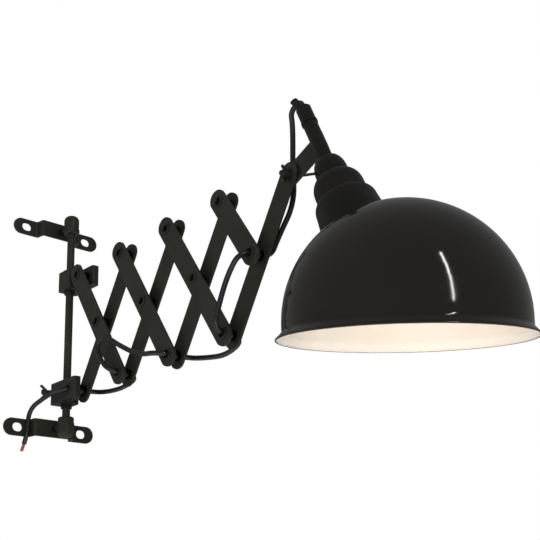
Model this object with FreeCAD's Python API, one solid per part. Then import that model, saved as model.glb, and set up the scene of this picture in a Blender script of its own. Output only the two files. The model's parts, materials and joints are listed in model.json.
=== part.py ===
import FreeCAD, Part
import math
import os

# Accordion wall lamp, in millimetres.
# X runs out from the wall, Y runs along it and Z is up. The origin is on the wall plane, midway
# between the two slots of the lower bracket. Front means -Y.

os.makedirs("parts", exist_ok=True)

# ---------- driving dimensions ----------
# wall brackets and rod
bracket_spacing = 274.0
slot_spacing = 93.0
slot_width = 11.0
slot_length = 14.0
strap_thickness = 3.0
strap_height = 22.0
strap_end_margin = 19.0
strap_step_y = 28.0
strap_rise = 12.0
strap_bend_fillet = 2.4
rod_diameter = 10.0
rod_from_wall = 40.0
boss_diameter = 20.0
boss_height = 26.0
boss_bore_depth = 17.0
boss_dome_radius = 7.0
boss_chamfer = 1.2
stub_diameter = 9.0
stub_rivet_diameter = 6.0
stub_rivet_head = 11.0
stub_rivet_head_height = 3.0
upper_boss_offset = 1.0
lower_boss_offset = -3.0
rivet_head_round = 1.8

# sliding blocks
block_height = 27.0
block_back = 12.0
block_front = 13.0
block_lug_reach = 14.0
block_lug_thickness = 10.5
block_far_side = 11.0
block_corner_radius = 3.0
bush_wall = 1.6
bush_flange_diameter = 14.0
bush_flange_height = 4.5
lower_pivot_height = 39.5
pivot_from_rod = 29.5

# accordion
bar_length = 180.0
bar_width = 24.0
bar_thickness = 3.0
bar_overhang = 15.0
plane_gap = 13.0
fold_angle = 31.7
bay_count = 4
tube_diameter = 10.5
tube_bore = 8.5
flange_diameter = 15.0
flange_thickness = 1.3
flange_round = 0.78
sleeve_diameter = 13.0

# clamp screw on the lower block
clamp_screw_diameter = 5.0
clamp_screw_turn = 50.0
clamp_screw_rise = 4.5
clamp_hole_length = 39.0
clamp_hub_start = 25.0
clamp_hub_diameter = 8.0
clamp_hub_tip_diameter = 6.4
clamp_hub_length = 7.0
wing_span = 19.0
wing_depth = 9.0
wing_thickness = 2.6
wing_round = 0.78
wing_root_height = 0.6
clamp_wing_turn = 30.0

# knuckle
link_seat_height = 21.0
link_overlap = 4.0
link_weld_depth = 1.2
washer_thickness = 0.9
washer_diameter = 14.0
knuckle_bolt_diameter = 6.0
bolt_head_diameter = 13.0
bolt_head_height = 3.6
bolt_head_round = 2.5
nut_base_diameter = 11.0
nut_hub_diameter = 9.0
nut_tip_diameter = 7.8
nut_hub_height = 7.0
nut_wing_span = 21.0
nut_wing_depth = 8.0
bolt_end_length = 2.5

# pipe and its cap
pipe_diameter = 16.0
pipe_wall = 1.4
pipe_lean = 20.5
pipe_axis_x = 502.5
pipe_axis_height = 195.0
pipe_above = 58.0
pipe_end_margin = 1.5
cap_diameter = 16.6
cap_wall = 1.5
cap_height = 18.0
cap_groove = 1.0
cap_ring_diameter = 17.8
cap_ring_height = 4.0
cap_inset = 8.0
cord_entry_floor = 0.5
tongue_width = 8.6
tongue_thickness = 1.6
tongue_length = 16.5
tongue_lean = 16.5
tongue_root = 7.0
tongue_shift = 0.2
retaining_nut_width = 22.0
retaining_nut_height = 5.0

# head: neck, shade and lampholder
head_drop = 11.0
head_turn = -11.6
shade_offset_angle = 30.0
shade_radius = 110.5
shade_band = 15.0
shade_wall = 1.0
lip_radius = 116.0
lip_height = 7.0
neck_hole_radius = 29.0
neck_hole_low = 92.0
neck_hole_depth = 60.0
neck_wall = 1.2
neck_top = 222.0
neck_round_one = 17.0
neck_straight_one = 9.5
neck_step_one_radius = 17.0
neck_round_two = 14.5
neck_straight_two = 14.5
neck_step_two_radius = 26.0
neck_round_three = 8.5
neck_step_three_radius = 32.0
neck_foot = 98.0
neck_base_radius = 38.0
neck_top_radius = 9.6
neck_crease = 2.0
neck_crease_depth = 0.8
collar_radius = 13.5
collar_height = 17.0
neck_screw_diameter = 3.0
neck_screw_length = 31.5
neck_screw_azimuth = 248.0
neck_screw_drop = 15.0
neck_screw_tip_gap = 0.3
holder_diameter = 39.0
holder_rise = 8.0
holder_height = 52.0
holder_ring_drop = 1.0
holder_ring_clearance = 0.15
holder_thread_diameter = 26.6
holder_shell_wall = 1.0
holder_shell_inset = 3.0
holder_floor = 12.0
holder_ring_height = 9.0
holder_cap_diameter = 31.0
holder_cap_height = 10.0
holder_contact_diameter = 9.0
holder_contact_height = 3.0
holder_wire_hole = 5.0
holder_cap_hole = 8.0

# cord
cord_diameter = 6.0
conductor_diameter = 2.0
conductor_length = 10.0
conductor_offset = 1.2
tail_gap = 1.4

# fits
running_clearance = 0.08
open_pivot_clearance = 0.2
face_clearance = 0.15
cord_clearance = 0.4
thread_clearance = 0.1

# ---------- worked-out places ----------
half_fold = math.radians(fold_angle)
bay = bar_length * math.sin(half_fold)
bar_rise = bar_length * math.cos(half_fold)
pivot_x = rod_from_wall + pivot_from_rod
low_z = lower_pivot_height
high_z = low_z + bar_rise
mid_z = low_z + bar_rise / 2
front_face = -(plane_gap / 2 + bar_thickness)
front_back_face = -plane_gap / 2
back_front_face = plane_gap / 2
back_face = plane_gap / 2 + bar_thickness
rod_radius = rod_diameter / 2
knuckle_x = pivot_x + bay_count * bay
pipe_radius = pipe_diameter / 2
link_front = back_face + washer_thickness + face_clearance
link_back = link_front + bar_thickness
pipe_y = link_front + link_weld_depth - pipe_radius
cord_radius = cord_diameter / 2

UP = FreeCAD.Vector(0, 0, 1)
ALONG_X = FreeCAD.Vector(1, 0, 0)
ALONG_Y = FreeCAD.Vector(0, 1, 0)


def vec(x, y, z):
    return FreeCAD.Vector(x, y, z)


def save(name, shape):
    """Writes one node and prints its volume."""
    if shape.ShapeType == "Compound" and len(shape.Solids) == 1:
        shape = shape.Solids[0]
    shape.exportStep("parts/" + name + ".step")
    print(name, len(shape.Solids), "solids", round(shape.Volume, 1), "mm3")


def cylinder(radius, start, axis, length):
    return Part.makeCylinder(radius, length, start, axis)


def ring(outer, inner, start, axis, length):
    body = cylinder(outer, start, axis, length)
    step = FreeCAD.Vector(axis)
    step.normalize()
    return body.cut(cylinder(inner, start - step, axis, length + 2))


def box(x0, x1, y0, y1, z0, z1):
    return Part.makeBox(x1 - x0, y1 - y0, z1 - z0, vec(x0, y0, z0))


def revolved(points):
    """Turns a closed outline of (radius, height) points about Z."""
    wire = Part.makePolygon([vec(r, 0, z) for r, z in points + points[:1]])
    return Part.Face(wire).revolve(vec(0, 0, 0), UP, 360)


def arc_points(center_r, center_z, radius, first, last, count):
    """Points of a circular arc in (radius, height), angles in degrees from the radius axis."""
    points = []
    for i in range(count + 1):
        angle = math.radians(first + (last - first) * i / count)
        points.append((center_r + radius * math.cos(angle), center_z + radius * math.sin(angle)))
    return points


def extruded_xz(points, y0, y1):
    """A flat plate: its outline in (x, z), from y0 to y1."""
    wire = Part.makePolygon([vec(x, y0, z) for x, z in points + points[:1]])
    return Part.Face(wire).extrude(vec(0, y1 - y0, 0))


def bar_plate(start, end, y0, y1, holes):
    """A flat bar with round ends past its end pivots. holes holds (x, z, radius)."""
    sx, sz = start
    ex, ez = end
    span = math.hypot(ex - sx, ez - sz)
    ux, uz = (ex - sx) / span, (ez - sz) / span
    reach = bar_overhang - bar_width / 2
    ax, az = sx - ux * reach, sz - uz * reach
    bx, bz = ex + ux * reach, ez + uz * reach
    px, pz = -uz * bar_width / 2, ux * bar_width / 2
    edges = [
        Part.makeLine(vec(ax + px, y0, az + pz), vec(bx + px, y0, bz + pz)),
        Part.Arc(vec(bx + px, y0, bz + pz), vec(bx + ux * bar_width / 2, y0, bz + uz * bar_width / 2),
                 vec(bx - px, y0, bz - pz)).toShape(),
        Part.makeLine(vec(bx - px, y0, bz - pz), vec(ax - px, y0, az - pz)),
        Part.Arc(vec(ax - px, y0, az - pz), vec(ax - ux * bar_width / 2, y0, az - uz * bar_width / 2),
                 vec(ax + px, y0, az + pz)).toShape(),
    ]
    plate = Part.Face(Part.Wire(edges)).extrude(vec(0, y1 - y0, 0))
    for x, z, radius in holes:
        plate = plate.cut(cylinder(radius, vec(x, y0 - 1, z), ALONG_Y, y1 - y0 + 2))
    return plate


def tube_rivet(x, z, y0, y1):
    """A hollow rivet through a pivot: y0 and y1 are the outer faces that its flanges hold."""
    length = y1 - y0
    whole = cylinder(tube_diameter / 2, vec(x, y0, z), ALONG_Y, length)
    for inner, outer in ((y0, y0 - flange_thickness), (y1, y1 + flange_thickness)):
        flange = cylinder(flange_diameter / 2, vec(x, min(inner, outer), z), ALONG_Y, flange_thickness)
        rim = [edge for edge in flange.Edges if abs(edge.CenterOfMass.y - outer) < 0.01]
        whole = whole.fuse(flange.makeFillet(flange_round, rim))
    bore = cylinder(tube_bore / 2, vec(x, y0 - 2 * flange_thickness, z), ALONG_Y,
                    length + 4 * flange_thickness)
    return whole.cut(bore).removeSplitter()


def spacer_sleeve(x, z, y0, y1):
    """The bright spacer tube between the two planes of bars."""
    return ring(sleeve_diameter / 2, tube_diameter / 2, vec(x, y0, z), ALONG_Y, y1 - y0)


def tube_path(points, radius, label):
    """A round cord along straight runs joined by tangent arcs."""
    points = [vec(*p) for p in points]
    edges = []
    here = points[0]
    smallest = 1e9
    for i in range(1, len(points) - 1):
        before = points[i] - points[i - 1]
        after = points[i + 1] - points[i]
        shorter = min(before.Length, after.Length)
        turn = before.getAngle(after)
        bend = 0.45 * shorter / math.tan(turn / 2)
        setback = 0.45 * shorter
        u = FreeCAD.Vector(before).normalize()
        v = FreeCAD.Vector(after).normalize()
        first = points[i] - u * setback
        last = points[i] + v * setback
        inward = FreeCAD.Vector(v - u).normalize()
        middle = points[i] + inward * (bend / math.cos(turn / 2) - bend)
        edges.append(Part.makeLine(here, first))
        edges.append(Part.Arc(first, middle, last).toShape())
        here = last
        smallest = min(smallest, bend)
    edges.append(Part.makeLine(here, points[-1]))
    path = Part.Wire(edges)
    start = points[0]
    direction = (points[1] - points[0]).normalize()
    circle = Part.Wire(Part.makeCircle(radius, start, direction))
    solid = path.makePipeShell([circle], True, True, 2)
    expected = math.pi * radius ** 2 * path.Length
    print(label, "length", round(path.Length, 1), "smallest bend radius", round(smallest, 1),
          "volume ratio", round(solid.Volume / expected, 4))
    return solid


# ---------- wall brackets ----------
def strap(height):
    """Hat-shaped strap: two slotted tabs on the wall and a raised middle."""
    t = strap_thickness
    tip = slot_spacing / 2 + strap_end_margin
    half = strap_height / 2
    outline = [
        (0, -tip), (t, -tip), (t, -strap_step_y - t), (strap_rise + t, -strap_step_y - t / 2),
        (strap_rise + t, strap_step_y + t / 2), (t, strap_step_y + t), (t, tip), (0, tip),
        (0, strap_step_y), (strap_rise, strap_step_y - t / 2), (strap_rise, -strap_step_y + t / 2),
        (0, -strap_step_y),
    ]
    wire = Part.makePolygon([vec(x, y, height - half) for x, y in outline + outline[:1]])
    body = Part.Face(wire).extrude(vec(0, 0, strap_height))
    inner_bends = []
    for edge in body.Edges:
        c = edge.CenterOfMass
        upright = abs(edge.tangentAt(edge.FirstParameter).z) > 0.99
        if upright and abs(c.y) < tip - 1:
            inner_bends.append(edge)
    body = body.makeFillet(strap_bend_fillet, inner_bends)
    keep = box(-1, strap_rise + t + 1, -tip + half, tip - half, height - half, height + half)
    for side in (-1, 1):
        keep = keep.fuse(cylinder(half, vec(-1, side * (tip - half), height), ALONG_X, strap_rise + t + 2))
    body = body.common(keep)
    for side in (-1, 1):
        offset = (slot_length - slot_width) / 2
        center = side * slot_spacing / 2
        slot = box(-1, t + 1, center - offset, center + offset,
                   height - slot_width / 2, height + slot_width / 2)
        for end in (-1, 1):
            slot = slot.fuse(cylinder(slot_width / 2, vec(-1, center + end * offset, height), ALONG_X, t + 2))
        body = body.cut(slot)
    rivet_hole = cylinder(stub_rivet_diameter / 2, vec(0, 0, height), ALONG_X, strap_rise + t + 1)
    return body.cut(rivet_hole)


def rod_boss(low, domed_up, height):
    """Round boss on a stub: the rod's end is pressed into it. low is its lower face."""
    r = boss_diameter / 2
    if domed_up:
        outline = [(0, 0), (r, 0)] + arc_points(r - boss_dome_radius, boss_height - boss_dome_radius,
                                                boss_dome_radius, 0, 90, 8) + [(0, boss_height)]
        bore_start = -1.0
    else:
        outline = [(0, 0)] + arc_points(r - boss_dome_radius, boss_dome_radius, boss_dome_radius, -90, 0, 8)
        outline += [(r, boss_height - boss_chamfer), (r - boss_chamfer, boss_height), (0, boss_height)]
        bore_start = boss_height - boss_bore_depth
    body = revolved(outline)
    body.translate(vec(rod_from_wall, 0, low))
    stub_start = strap_rise + strap_thickness
    stub = cylinder(stub_diameter / 2, vec(stub_start, 0, height), ALONG_X, rod_from_wall - stub_start)
    tail = cylinder(stub_rivet_diameter / 2, vec(strap_rise, 0, height), ALONG_X, strap_thickness + 1)
    head = cylinder(stub_rivet_head / 2, vec(strap_rise - stub_rivet_head_height, 0, height), ALONG_X,
                    stub_rivet_head_height)
    head = head.makeFillet(rivet_head_round, [head.Edges[2]])
    body = body.fuse([stub, tail, head])
    bore = cylinder(rod_radius, vec(rod_from_wall, 0, low + bore_start), UP, boss_bore_depth + 1)
    return body.cut(bore).removeSplitter()


upper_boss_low = bracket_spacing + upper_boss_offset - boss_height / 2
lower_boss_low = lower_boss_offset - boss_height / 2
save("strap_lower", strap(0.0))
save("strap_upper", strap(bracket_spacing))
save("boss_lower", rod_boss(lower_boss_low, False, 0.0))
save("boss_upper", rod_boss(upper_boss_low, True, bracket_spacing))
rod_low = lower_boss_low + boss_height - boss_bore_depth
rod_high = upper_boss_low + boss_bore_depth
save("rod", cylinder(rod_radius, vec(rod_from_wall, 0, rod_low), UP, rod_high - rod_low))


# ---------- blocks that slide and turn on the rod ----------
bush_radius = rod_radius + running_clearance + bush_wall
clamp_height = low_z + clamp_screw_rise
clamp_angle = math.radians(clamp_screw_turn)
clamp_direction = vec(-math.cos(clamp_angle), -math.sin(clamp_angle), 0)


def block(center_z, lug_side):
    """Cast block: a body round the rod and one lug. lug_side is -1 for the front, 1 for the back."""
    x0 = rod_from_wall - block_back
    x1 = rod_from_wall + block_front
    x2 = pivot_x + block_lug_reach
    inner = plane_gap / 2
    outer = inner + block_lug_thickness
    z0 = center_z - block_height / 2
    outline = [(x0, -block_far_side), (x1, -block_far_side), (x1, inner),
               (x2, inner), (x2, outer), (x0, outer)]
    wire = Part.makePolygon([vec(x, lug_side * y, z0) for x, y in outline + outline[:1]])
    body = Part.Face(wire).extrude(vec(0, 0, block_height))
    rounded = []
    for edge in body.Edges:
        upright = abs(edge.tangentAt(edge.FirstParameter).z) > 0.99
        middle = edge.CenterOfMass
        inside_corner = abs(middle.x - x1) < 0.1 and abs(middle.y - lug_side * inner) < 0.1
        if upright and not inside_corner:
            rounded.append(edge)
    body = body.makeFillet(block_corner_radius, rounded)
    return body.cut(cylinder(bush_radius, vec(rod_from_wall, 0, z0 - 1), UP, block_height + 2))


def rod_bush(center_z, clearance):
    """Flanged bush on the rod, with its flange under the block."""
    z0 = center_z - block_height / 2
    outer = ring(bush_radius, rod_radius + clearance, vec(rod_from_wall, 0, z0), UP, block_height)
    flange = ring(bush_flange_diameter / 2, rod_radius + clearance,
                  vec(rod_from_wall, 0, z0 - bush_flange_height), UP, bush_flange_height)
    return outer.fuse(flange).removeSplitter()


lug_outer = plane_gap / 2 + block_lug_thickness
lower_block = block(low_z, -1)
lower_block = lower_block.cut(cylinder(tube_diameter / 2, vec(pivot_x, -lug_outer - 1, low_z), ALONG_Y,
                                       block_lug_thickness + 2))
lower_bush_bore = cylinder(bush_radius + running_clearance, vec(rod_from_wall, 0, low_z - block_height),
                           UP, 2 * block_height)
lower_block = lower_block.cut(lower_bush_bore)
lower_block = lower_block.cut(cylinder(clamp_screw_diameter / 2 + thread_clearance,
                                       vec(rod_from_wall, 0, clamp_height), clamp_direction, clamp_hole_length))
save("lower_block", lower_block)
lower_bush = rod_bush(low_z, running_clearance)
lower_bush.translate(vec(0, 0, -face_clearance))
save("lower_bush", lower_bush)

upper_block = block(high_z, 1)
upper_block = upper_block.cut(cylinder(tube_diameter / 2 + running_clearance,
                                       vec(pivot_x, back_front_face - 1, high_z), ALONG_Y,
                                       block_lug_thickness + 2))
save("upper_block", upper_block)
save("upper_bush", rod_bush(high_z, open_pivot_clearance))


def wings(span, depth, thickness, hub_radius):
    """Two ears either side of a hub along Z: they lie in the XZ plane, from z = 0 up, swept outwards."""
    ears = []
    for side in (-1, 1):
        outline = [(side * hub_radius * 0.4, wing_root_height), (side * hub_radius, wing_root_height),
                   (side * span / 2, depth * 0.55), (side * span / 2, depth * 0.9),
                   (side * span * 0.40, depth), (side * hub_radius * 0.9, depth * 0.55),
                   (side * hub_radius * 0.4, depth * 0.5)]
        wire = Part.makePolygon([vec(x, -thickness / 2, z) for x, z in outline + outline[:1]])
        ear = Part.Face(wire).extrude(vec(0, thickness, 0))
        ear = ear.makeFillet(wing_round, ear.Edges)
        ears.append(ear)
    return ears


def aim(shape, start, direction, roll):
    """Turns a shape built along Z to run along a direction from start, rolled about it first."""
    shape.rotate(vec(0, 0, 0), UP, roll)
    turn = FreeCAD.Rotation(UP, direction)
    shape.Placement = FreeCAD.Placement(start, turn).multiply(shape.Placement)
    return shape


clamp_gap = bush_radius + running_clearance + cord_clearance
clamp_screw = cylinder(clamp_screw_diameter / 2, vec(0, 0, clamp_gap), UP, clamp_hub_start - clamp_gap + 1)
clamp_hub = Part.makeCone(clamp_hub_diameter / 2, clamp_hub_tip_diameter / 2, clamp_hub_length,
                          vec(0, 0, clamp_hub_start), UP)
clamp_ears = wings(wing_span, wing_depth, wing_thickness, clamp_hub_diameter / 2)
for ear in clamp_ears:
    ear.translate(vec(0, 0, clamp_hub_start))
clamp_screw = clamp_screw.fuse([clamp_hub] + clamp_ears).removeSplitter()
save("clamp_screw", aim(clamp_screw, vec(rod_from_wall, 0, clamp_height), clamp_direction, clamp_wing_turn))


# ---------- accordion bars, hollow rivets and spacer sleeves ----------
tight_hole = tube_diameter / 2
running_hole = tube_diameter / 2 + running_clearance
open_hole = tube_diameter / 2 + open_pivot_clearance


def top_point(i):
    return (pivot_x + i * bay, high_z)


def bottom_point(i):
    return (pivot_x + i * bay, low_z)


def middle_point(i):
    return (pivot_x + (i + 0.5) * bay, mid_z)


# Front bars fall away from the wall. The last one is a half bar that ends at its middle pivot.
for i in range(bay_count):
    last = i == bay_count - 1
    pivots = [top_point(i), middle_point(i)]
    if not last:
        pivots.append(bottom_point(i + 1))
    plate = bar_plate(pivots[0], pivots[-1], front_face, front_back_face,
                      [(x, z, tight_hole) for x, z in pivots])
    save("front_bar_%d" % (i + 1), plate)
    tubes = []
    sleeves = []
    for k, (x, z) in enumerate(pivots):
        rear = lug_outer if i == 0 and k == 0 else back_face
        tubes.append(tube_rivet(x, z, front_face, rear + face_clearance))
        sleeves.append(spacer_sleeve(x, z, front_back_face, back_front_face - face_clearance))
    save("front_bar_%d_rivets" % (i + 1), Part.makeCompound(tubes))
    save("front_bar_%d_sleeves" % (i + 1), Part.makeCompound(sleeves))

# Back bars rise away from the wall. The last one carries the knuckle.
for i in range(bay_count):
    last = i == bay_count - 1
    x, z = top_point(i + 1)
    end_hole = knuckle_bolt_diameter / 2 + running_clearance if last else open_hole
    holes = [bottom_point(i) + (running_hole,), middle_point(i) + (running_hole,), (x, z, end_hole)]
    plate = bar_plate(bottom_point(i), top_point(i + 1), back_front_face, back_face, holes)
    save("back_bar_%d" % (i + 1), plate)

save("base_rivet", tube_rivet(pivot_x, low_z, -lug_outer, back_face + face_clearance))
save("base_sleeve", spacer_sleeve(pivot_x, low_z, front_back_face, back_front_face - face_clearance))


# ---------- knuckle: link bar, bolt, washers and wing nut ----------
lean = math.radians(pipe_lean)
down_axis = vec(math.sin(lean), 0, -math.cos(lean))
pipe_point = vec(pipe_axis_x, pipe_y, pipe_axis_height)
# where the middle of the link bar crosses the axis of the pipe, seen from the front
link_end = (pipe_axis_x - link_seat_height * math.sin(lean),
            pipe_axis_height + link_seat_height * math.cos(lean))
link_direction = math.atan2(link_end[1] - high_z, link_end[0] - knuckle_x)
link = bar_plate((knuckle_x, high_z), (link_end[0] + bar_width * math.cos(link_direction),
                                       link_end[1] + bar_width * math.sin(link_direction)),
                 link_front, link_back, [(knuckle_x, high_z, knuckle_bolt_diameter / 2)])
trim = box(link_overlap, 5 * bar_width, -2 * bar_width, 2 * bar_width, -4 * bar_width, 4 * bar_width)
trim.rotate(vec(0, 0, 0), ALONG_Y, -pipe_lean)
trim.translate(vec(link_end[0], link_front, link_end[1]))
link = link.cut(trim)
link = link.cut(cylinder(pipe_radius, pipe_point - down_axis * 200, down_axis, 400))
save("link_bar", link)

washer_bore = knuckle_bolt_diameter / 2 + running_clearance
save("knuckle_washers", Part.makeCompound([
    ring(washer_diameter / 2, washer_bore, vec(knuckle_x, back_face + face_clearance, high_z), ALONG_Y,
         washer_thickness),
    ring(washer_diameter / 2, washer_bore,
         vec(knuckle_x, back_front_face - face_clearance - washer_thickness, high_z), ALONG_Y,
         washer_thickness),
]))
nut_rear = back_front_face - face_clearance - washer_thickness
bolt_front = nut_rear - nut_hub_height - bolt_end_length
bolt = cylinder(knuckle_bolt_diameter / 2, vec(knuckle_x, bolt_front, high_z), ALONG_Y,
                link_back - bolt_front)
bolt_head = cylinder(bolt_head_diameter / 2, vec(knuckle_x, link_back, high_z), ALONG_Y, bolt_head_height)
bolt_head = bolt_head.makeFillet(bolt_head_round, [bolt_head.Edges[0]])
save("knuckle_bolt", bolt.fuse(bolt_head).removeSplitter())
nut = Part.makeCone(nut_base_diameter / 2, nut_tip_diameter / 2, nut_hub_height, vec(0, 0, 0), UP)
nut = nut.fuse(wings(nut_wing_span, nut_wing_depth, wing_thickness, nut_hub_diameter / 2)).removeSplitter()
nut = nut.cut(cylinder(knuckle_bolt_diameter / 2 + thread_clearance, vec(0, 0, -1), UP, nut_hub_height + 2))
save("wing_nut", aim(nut, vec(knuckle_x, nut_rear, high_z), vec(0, -1, 0), 90.0))


# ---------- pipe, cap and cord tongue ----------
def on_pipe(shape, along):
    """Places a shape built along Z at a distance up the pipe from the pipe's reference point."""
    shape.rotate(vec(0, 0, 0), ALONG_Y, -pipe_lean)
    shape.translate(pipe_point - down_axis * along)
    return shape


pipe_bore = pipe_radius - pipe_wall
nut_low = -head_drop - collar_height - face_clearance - retaining_nut_height
pipe_below = pipe_end_margin - nut_low
save("pipe", on_pipe(ring(pipe_radius, pipe_bore, vec(0, 0, -pipe_below), UP, pipe_below + pipe_above), 0))

cap_base = pipe_above - cap_height + cap_inset
cap_outer = cap_diameter / 2
save("cap_ring", on_pipe(ring(cap_ring_diameter / 2, pipe_radius, vec(0, 0, 0), UP, cap_ring_height),
                         cap_base - cap_groove - cap_ring_height))
cap = ring(cap_outer, pipe_radius, vec(0, 0, 0), UP, cap_height - cap_inset)
cap_upper = ring(cap_outer, cap_outer - cap_wall, vec(0, 0, cap_height - cap_inset), UP, cap_inset)
cap = cap.fuse(cap_upper).removeSplitter()
entry = box(-cap_outer - 1, 0, -cord_radius - cord_clearance, cord_radius + cord_clearance,
            cap_height - cap_inset + cord_entry_floor, cap_height + 1)
cap = cap.cut(entry)
save("pipe_cap", on_pipe(cap, cap_base))

# The tongue rises from inside the front of the cap and leans towards the wall in front of the cord.
seat = cap_outer - cap_wall
tongue_low = tongue_shift - tongue_width / 2
tongue_high = tongue_shift + tongue_width / 2
tongue_root_piece = ring(seat, seat - tongue_thickness, vec(0, 0, -tongue_root), UP, tongue_root).common(
    box(tongue_low, tongue_high, -seat, 0, -tongue_root, 0))
tongue_face = max(tongue_root_piece.Faces, key=lambda face: face.CenterOfMass.z)
tongue_turn = math.radians(tongue_lean)
tongue = tongue_face.extrude(vec(-math.sin(tongue_turn), 0, math.cos(tongue_turn)) * tongue_length)
tongue = tongue.fuse(tongue_root_piece).removeSplitter()
save("cord_tongue", on_pipe(tongue, cap_base + cap_height))

nut_corner_radius = retaining_nut_width / 2 / math.cos(math.pi / 6)
nut_corners = [vec(nut_corner_radius * math.cos(math.radians(60 * i)),
                   nut_corner_radius * math.sin(math.radians(60 * i)), 0) for i in range(7)]
retaining_nut = Part.Face(Part.makePolygon(nut_corners)).extrude(vec(0, 0, retaining_nut_height))
retaining_nut = retaining_nut.cut(cylinder(pipe_radius, vec(0, 0, -1), UP, retaining_nut_height + 2))
save("retaining_nut", on_pipe(retaining_nut, nut_low))


# ---------- head, built along Z with its rim centre at the origin ----------
def on_head(shape):
    """Places a head piece: turned on the pipe, leant with it and set at the rim's centre."""
    shape.rotate(vec(0, 0, 0), UP, head_turn)
    shape.rotate(vec(0, 0, 0), ALONG_Y, -pipe_lean)
    shape.translate(pipe_point + down_axis * (neck_top + head_drop))
    return shape


def tilt_shade(shape):
    """Turns a shade piece built along Z to its own axis in the head."""
    shape.rotate(vec(0, 0, 0), ALONG_Y, shade_offset_angle)
    return shape


shade_axis = vec(math.sin(math.radians(shade_offset_angle)), 0, math.cos(math.radians(shade_offset_angle)))
sphere_center = shade_axis * shade_band
inner_radius = shade_radius - shade_wall


def dome(radius):
    """The solid inside a shade skin: a straight band with half a ball on it."""
    ball = Part.makeSphere(radius, vec(0, 0, shade_band), UP, 0, 90, 360)
    band = cylinder(radius, vec(0, 0, lip_height), UP, shade_band - lip_height)
    return ball.fuse(band).removeSplitter()


skin = dome(shade_radius)
hollow = dome(inner_radius).fuse(cylinder(inner_radius, vec(0, 0, lip_height - 1), UP, 2))
lip = revolved([(lip_radius, 0), (lip_radius, shade_wall), (shade_radius, lip_height),
                (inner_radius, lip_height), (lip_radius - 1.6 * shade_wall, 0)])
shade = tilt_shade(skin.cut(hollow).fuse(lip).removeSplitter())
shade = shade.cut(cylinder(neck_hole_radius, vec(0, 0, neck_hole_low), UP, neck_hole_depth))
save("shade", on_head(shade))


crease_one = neck_top - neck_round_one - neck_straight_one
crease_two = crease_one - neck_round_two - neck_straight_two
step_two_height = crease_two + neck_straight_two


def rounded_step(radius, reach, height, rise, shrink):
    """Points of one rounded step of the neck, from its straight wall up to the next radius."""
    turns = [math.radians(15 * i) for i in range(6)]
    return [(radius - reach + reach * math.cos(turn) - shrink, height + rise * math.sin(turn))
            for turn in turns]


def neck_outline(shrink):
    """Outer or inner outline of the three-step neck, from its foot to its top, as (radius, height)."""
    points = [(neck_base_radius - shrink, neck_foot)]
    points += rounded_step(neck_step_three_radius, neck_step_three_radius - neck_step_two_radius,
                           crease_two - neck_round_three, neck_round_three, shrink)
    points += [(neck_step_two_radius - neck_crease_depth - shrink, crease_two),
               (neck_step_two_radius - shrink, crease_two + neck_crease)]
    points += rounded_step(neck_step_two_radius, neck_step_two_radius - neck_step_one_radius,
                           step_two_height, neck_round_two, shrink)
    points += [(neck_step_one_radius - neck_crease_depth - shrink, crease_one),
               (neck_step_one_radius - shrink, crease_one + neck_crease)]
    points += rounded_step(neck_step_one_radius, neck_step_one_radius - neck_top_radius,
                           neck_top - neck_round_one, neck_round_one, shrink)
    return points


bore = pipe_radius + running_clearance
outer_points = neck_outline(0.0) + [(neck_top_radius, neck_top)]
inner_points = [p for p in neck_outline(neck_wall) if p[1] < neck_top - collar_height]
neck_points = outer_points + [(bore, neck_top), (bore, neck_top - collar_height),
                              (collar_radius, neck_top - collar_height)] + inner_points[::-1]
neck = revolved(neck_points)
ball = tilt_shade(Part.makeSphere(shade_radius, vec(0, 0, shade_band)))
neck = neck.cut(ball)
neck = max(neck.Solids, key=lambda s: s.Volume)
screw_angle = math.radians(neck_screw_azimuth)
screw_direction = vec(math.cos(screw_angle), math.sin(screw_angle), 0)
screw_height = neck_top - neck_screw_drop
neck = neck.cut(cylinder(neck_screw_diameter / 2 + thread_clearance, vec(0, 0, screw_height), screw_direction,
                         neck_screw_length))
save("neck", on_head(neck))
screw_start = bore + neck_screw_tip_gap
neck_screw = cylinder(neck_screw_diameter / 2, vec(0, 0, screw_height) + screw_direction * screw_start,
                      screw_direction, neck_screw_length - screw_start)
save("neck_screw", on_head(neck_screw))

# Lampholder: a hard plastic body with a metal screw shell, hung in the neck by its cap.
holder_top = step_two_height + holder_rise
holder_bottom = holder_top - holder_height
holder_radius = holder_diameter / 2
shell_radius = holder_thread_diameter / 2 + holder_shell_wall
holder_body = ring(holder_radius, shell_radius, vec(0, 0, holder_bottom), UP,
                   holder_height - holder_cap_height - holder_floor)
holder_body = holder_body.fuse(ring(holder_radius, holder_wire_hole / 2,
                                    vec(0, 0, holder_top - holder_cap_height - holder_floor), UP,
                                    holder_floor))
holder_body = holder_body.fuse(ring(holder_cap_diameter / 2, holder_cap_hole / 2,
                                    vec(0, 0, holder_top - holder_cap_height), UP, holder_cap_height))
save("lampholder_body", on_head(holder_body.removeSplitter()))
save("lampholder_shell", on_head(ring(shell_radius, holder_thread_diameter / 2,
                                      vec(0, 0, holder_bottom + holder_shell_inset), UP,
                                      holder_height - holder_cap_height - holder_floor - holder_shell_inset
                                      - holder_contact_height)))
save("lampholder_contact", on_head(cylinder(holder_contact_diameter / 2,
                                            vec(0, 0, holder_top - holder_cap_height - holder_floor
                                                - holder_contact_height), UP, holder_contact_height)))
hanger = ring(neck_step_two_radius - neck_wall - holder_ring_clearance, holder_radius,
              vec(0, 0, step_two_height - holder_ring_drop - holder_ring_height), UP, holder_ring_height)
save("lampholder_ring", on_head(hanger))


# ---------- cord ----------
# Route points chosen by hand, in millimetres. Each stretch ends in the middle of a hollow rivet.
def beside(point, dx, y, dz):
    """A cord point, measured from a pivot seen from the front."""
    return (point[0] + dx, y, point[1] + dz)


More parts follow.
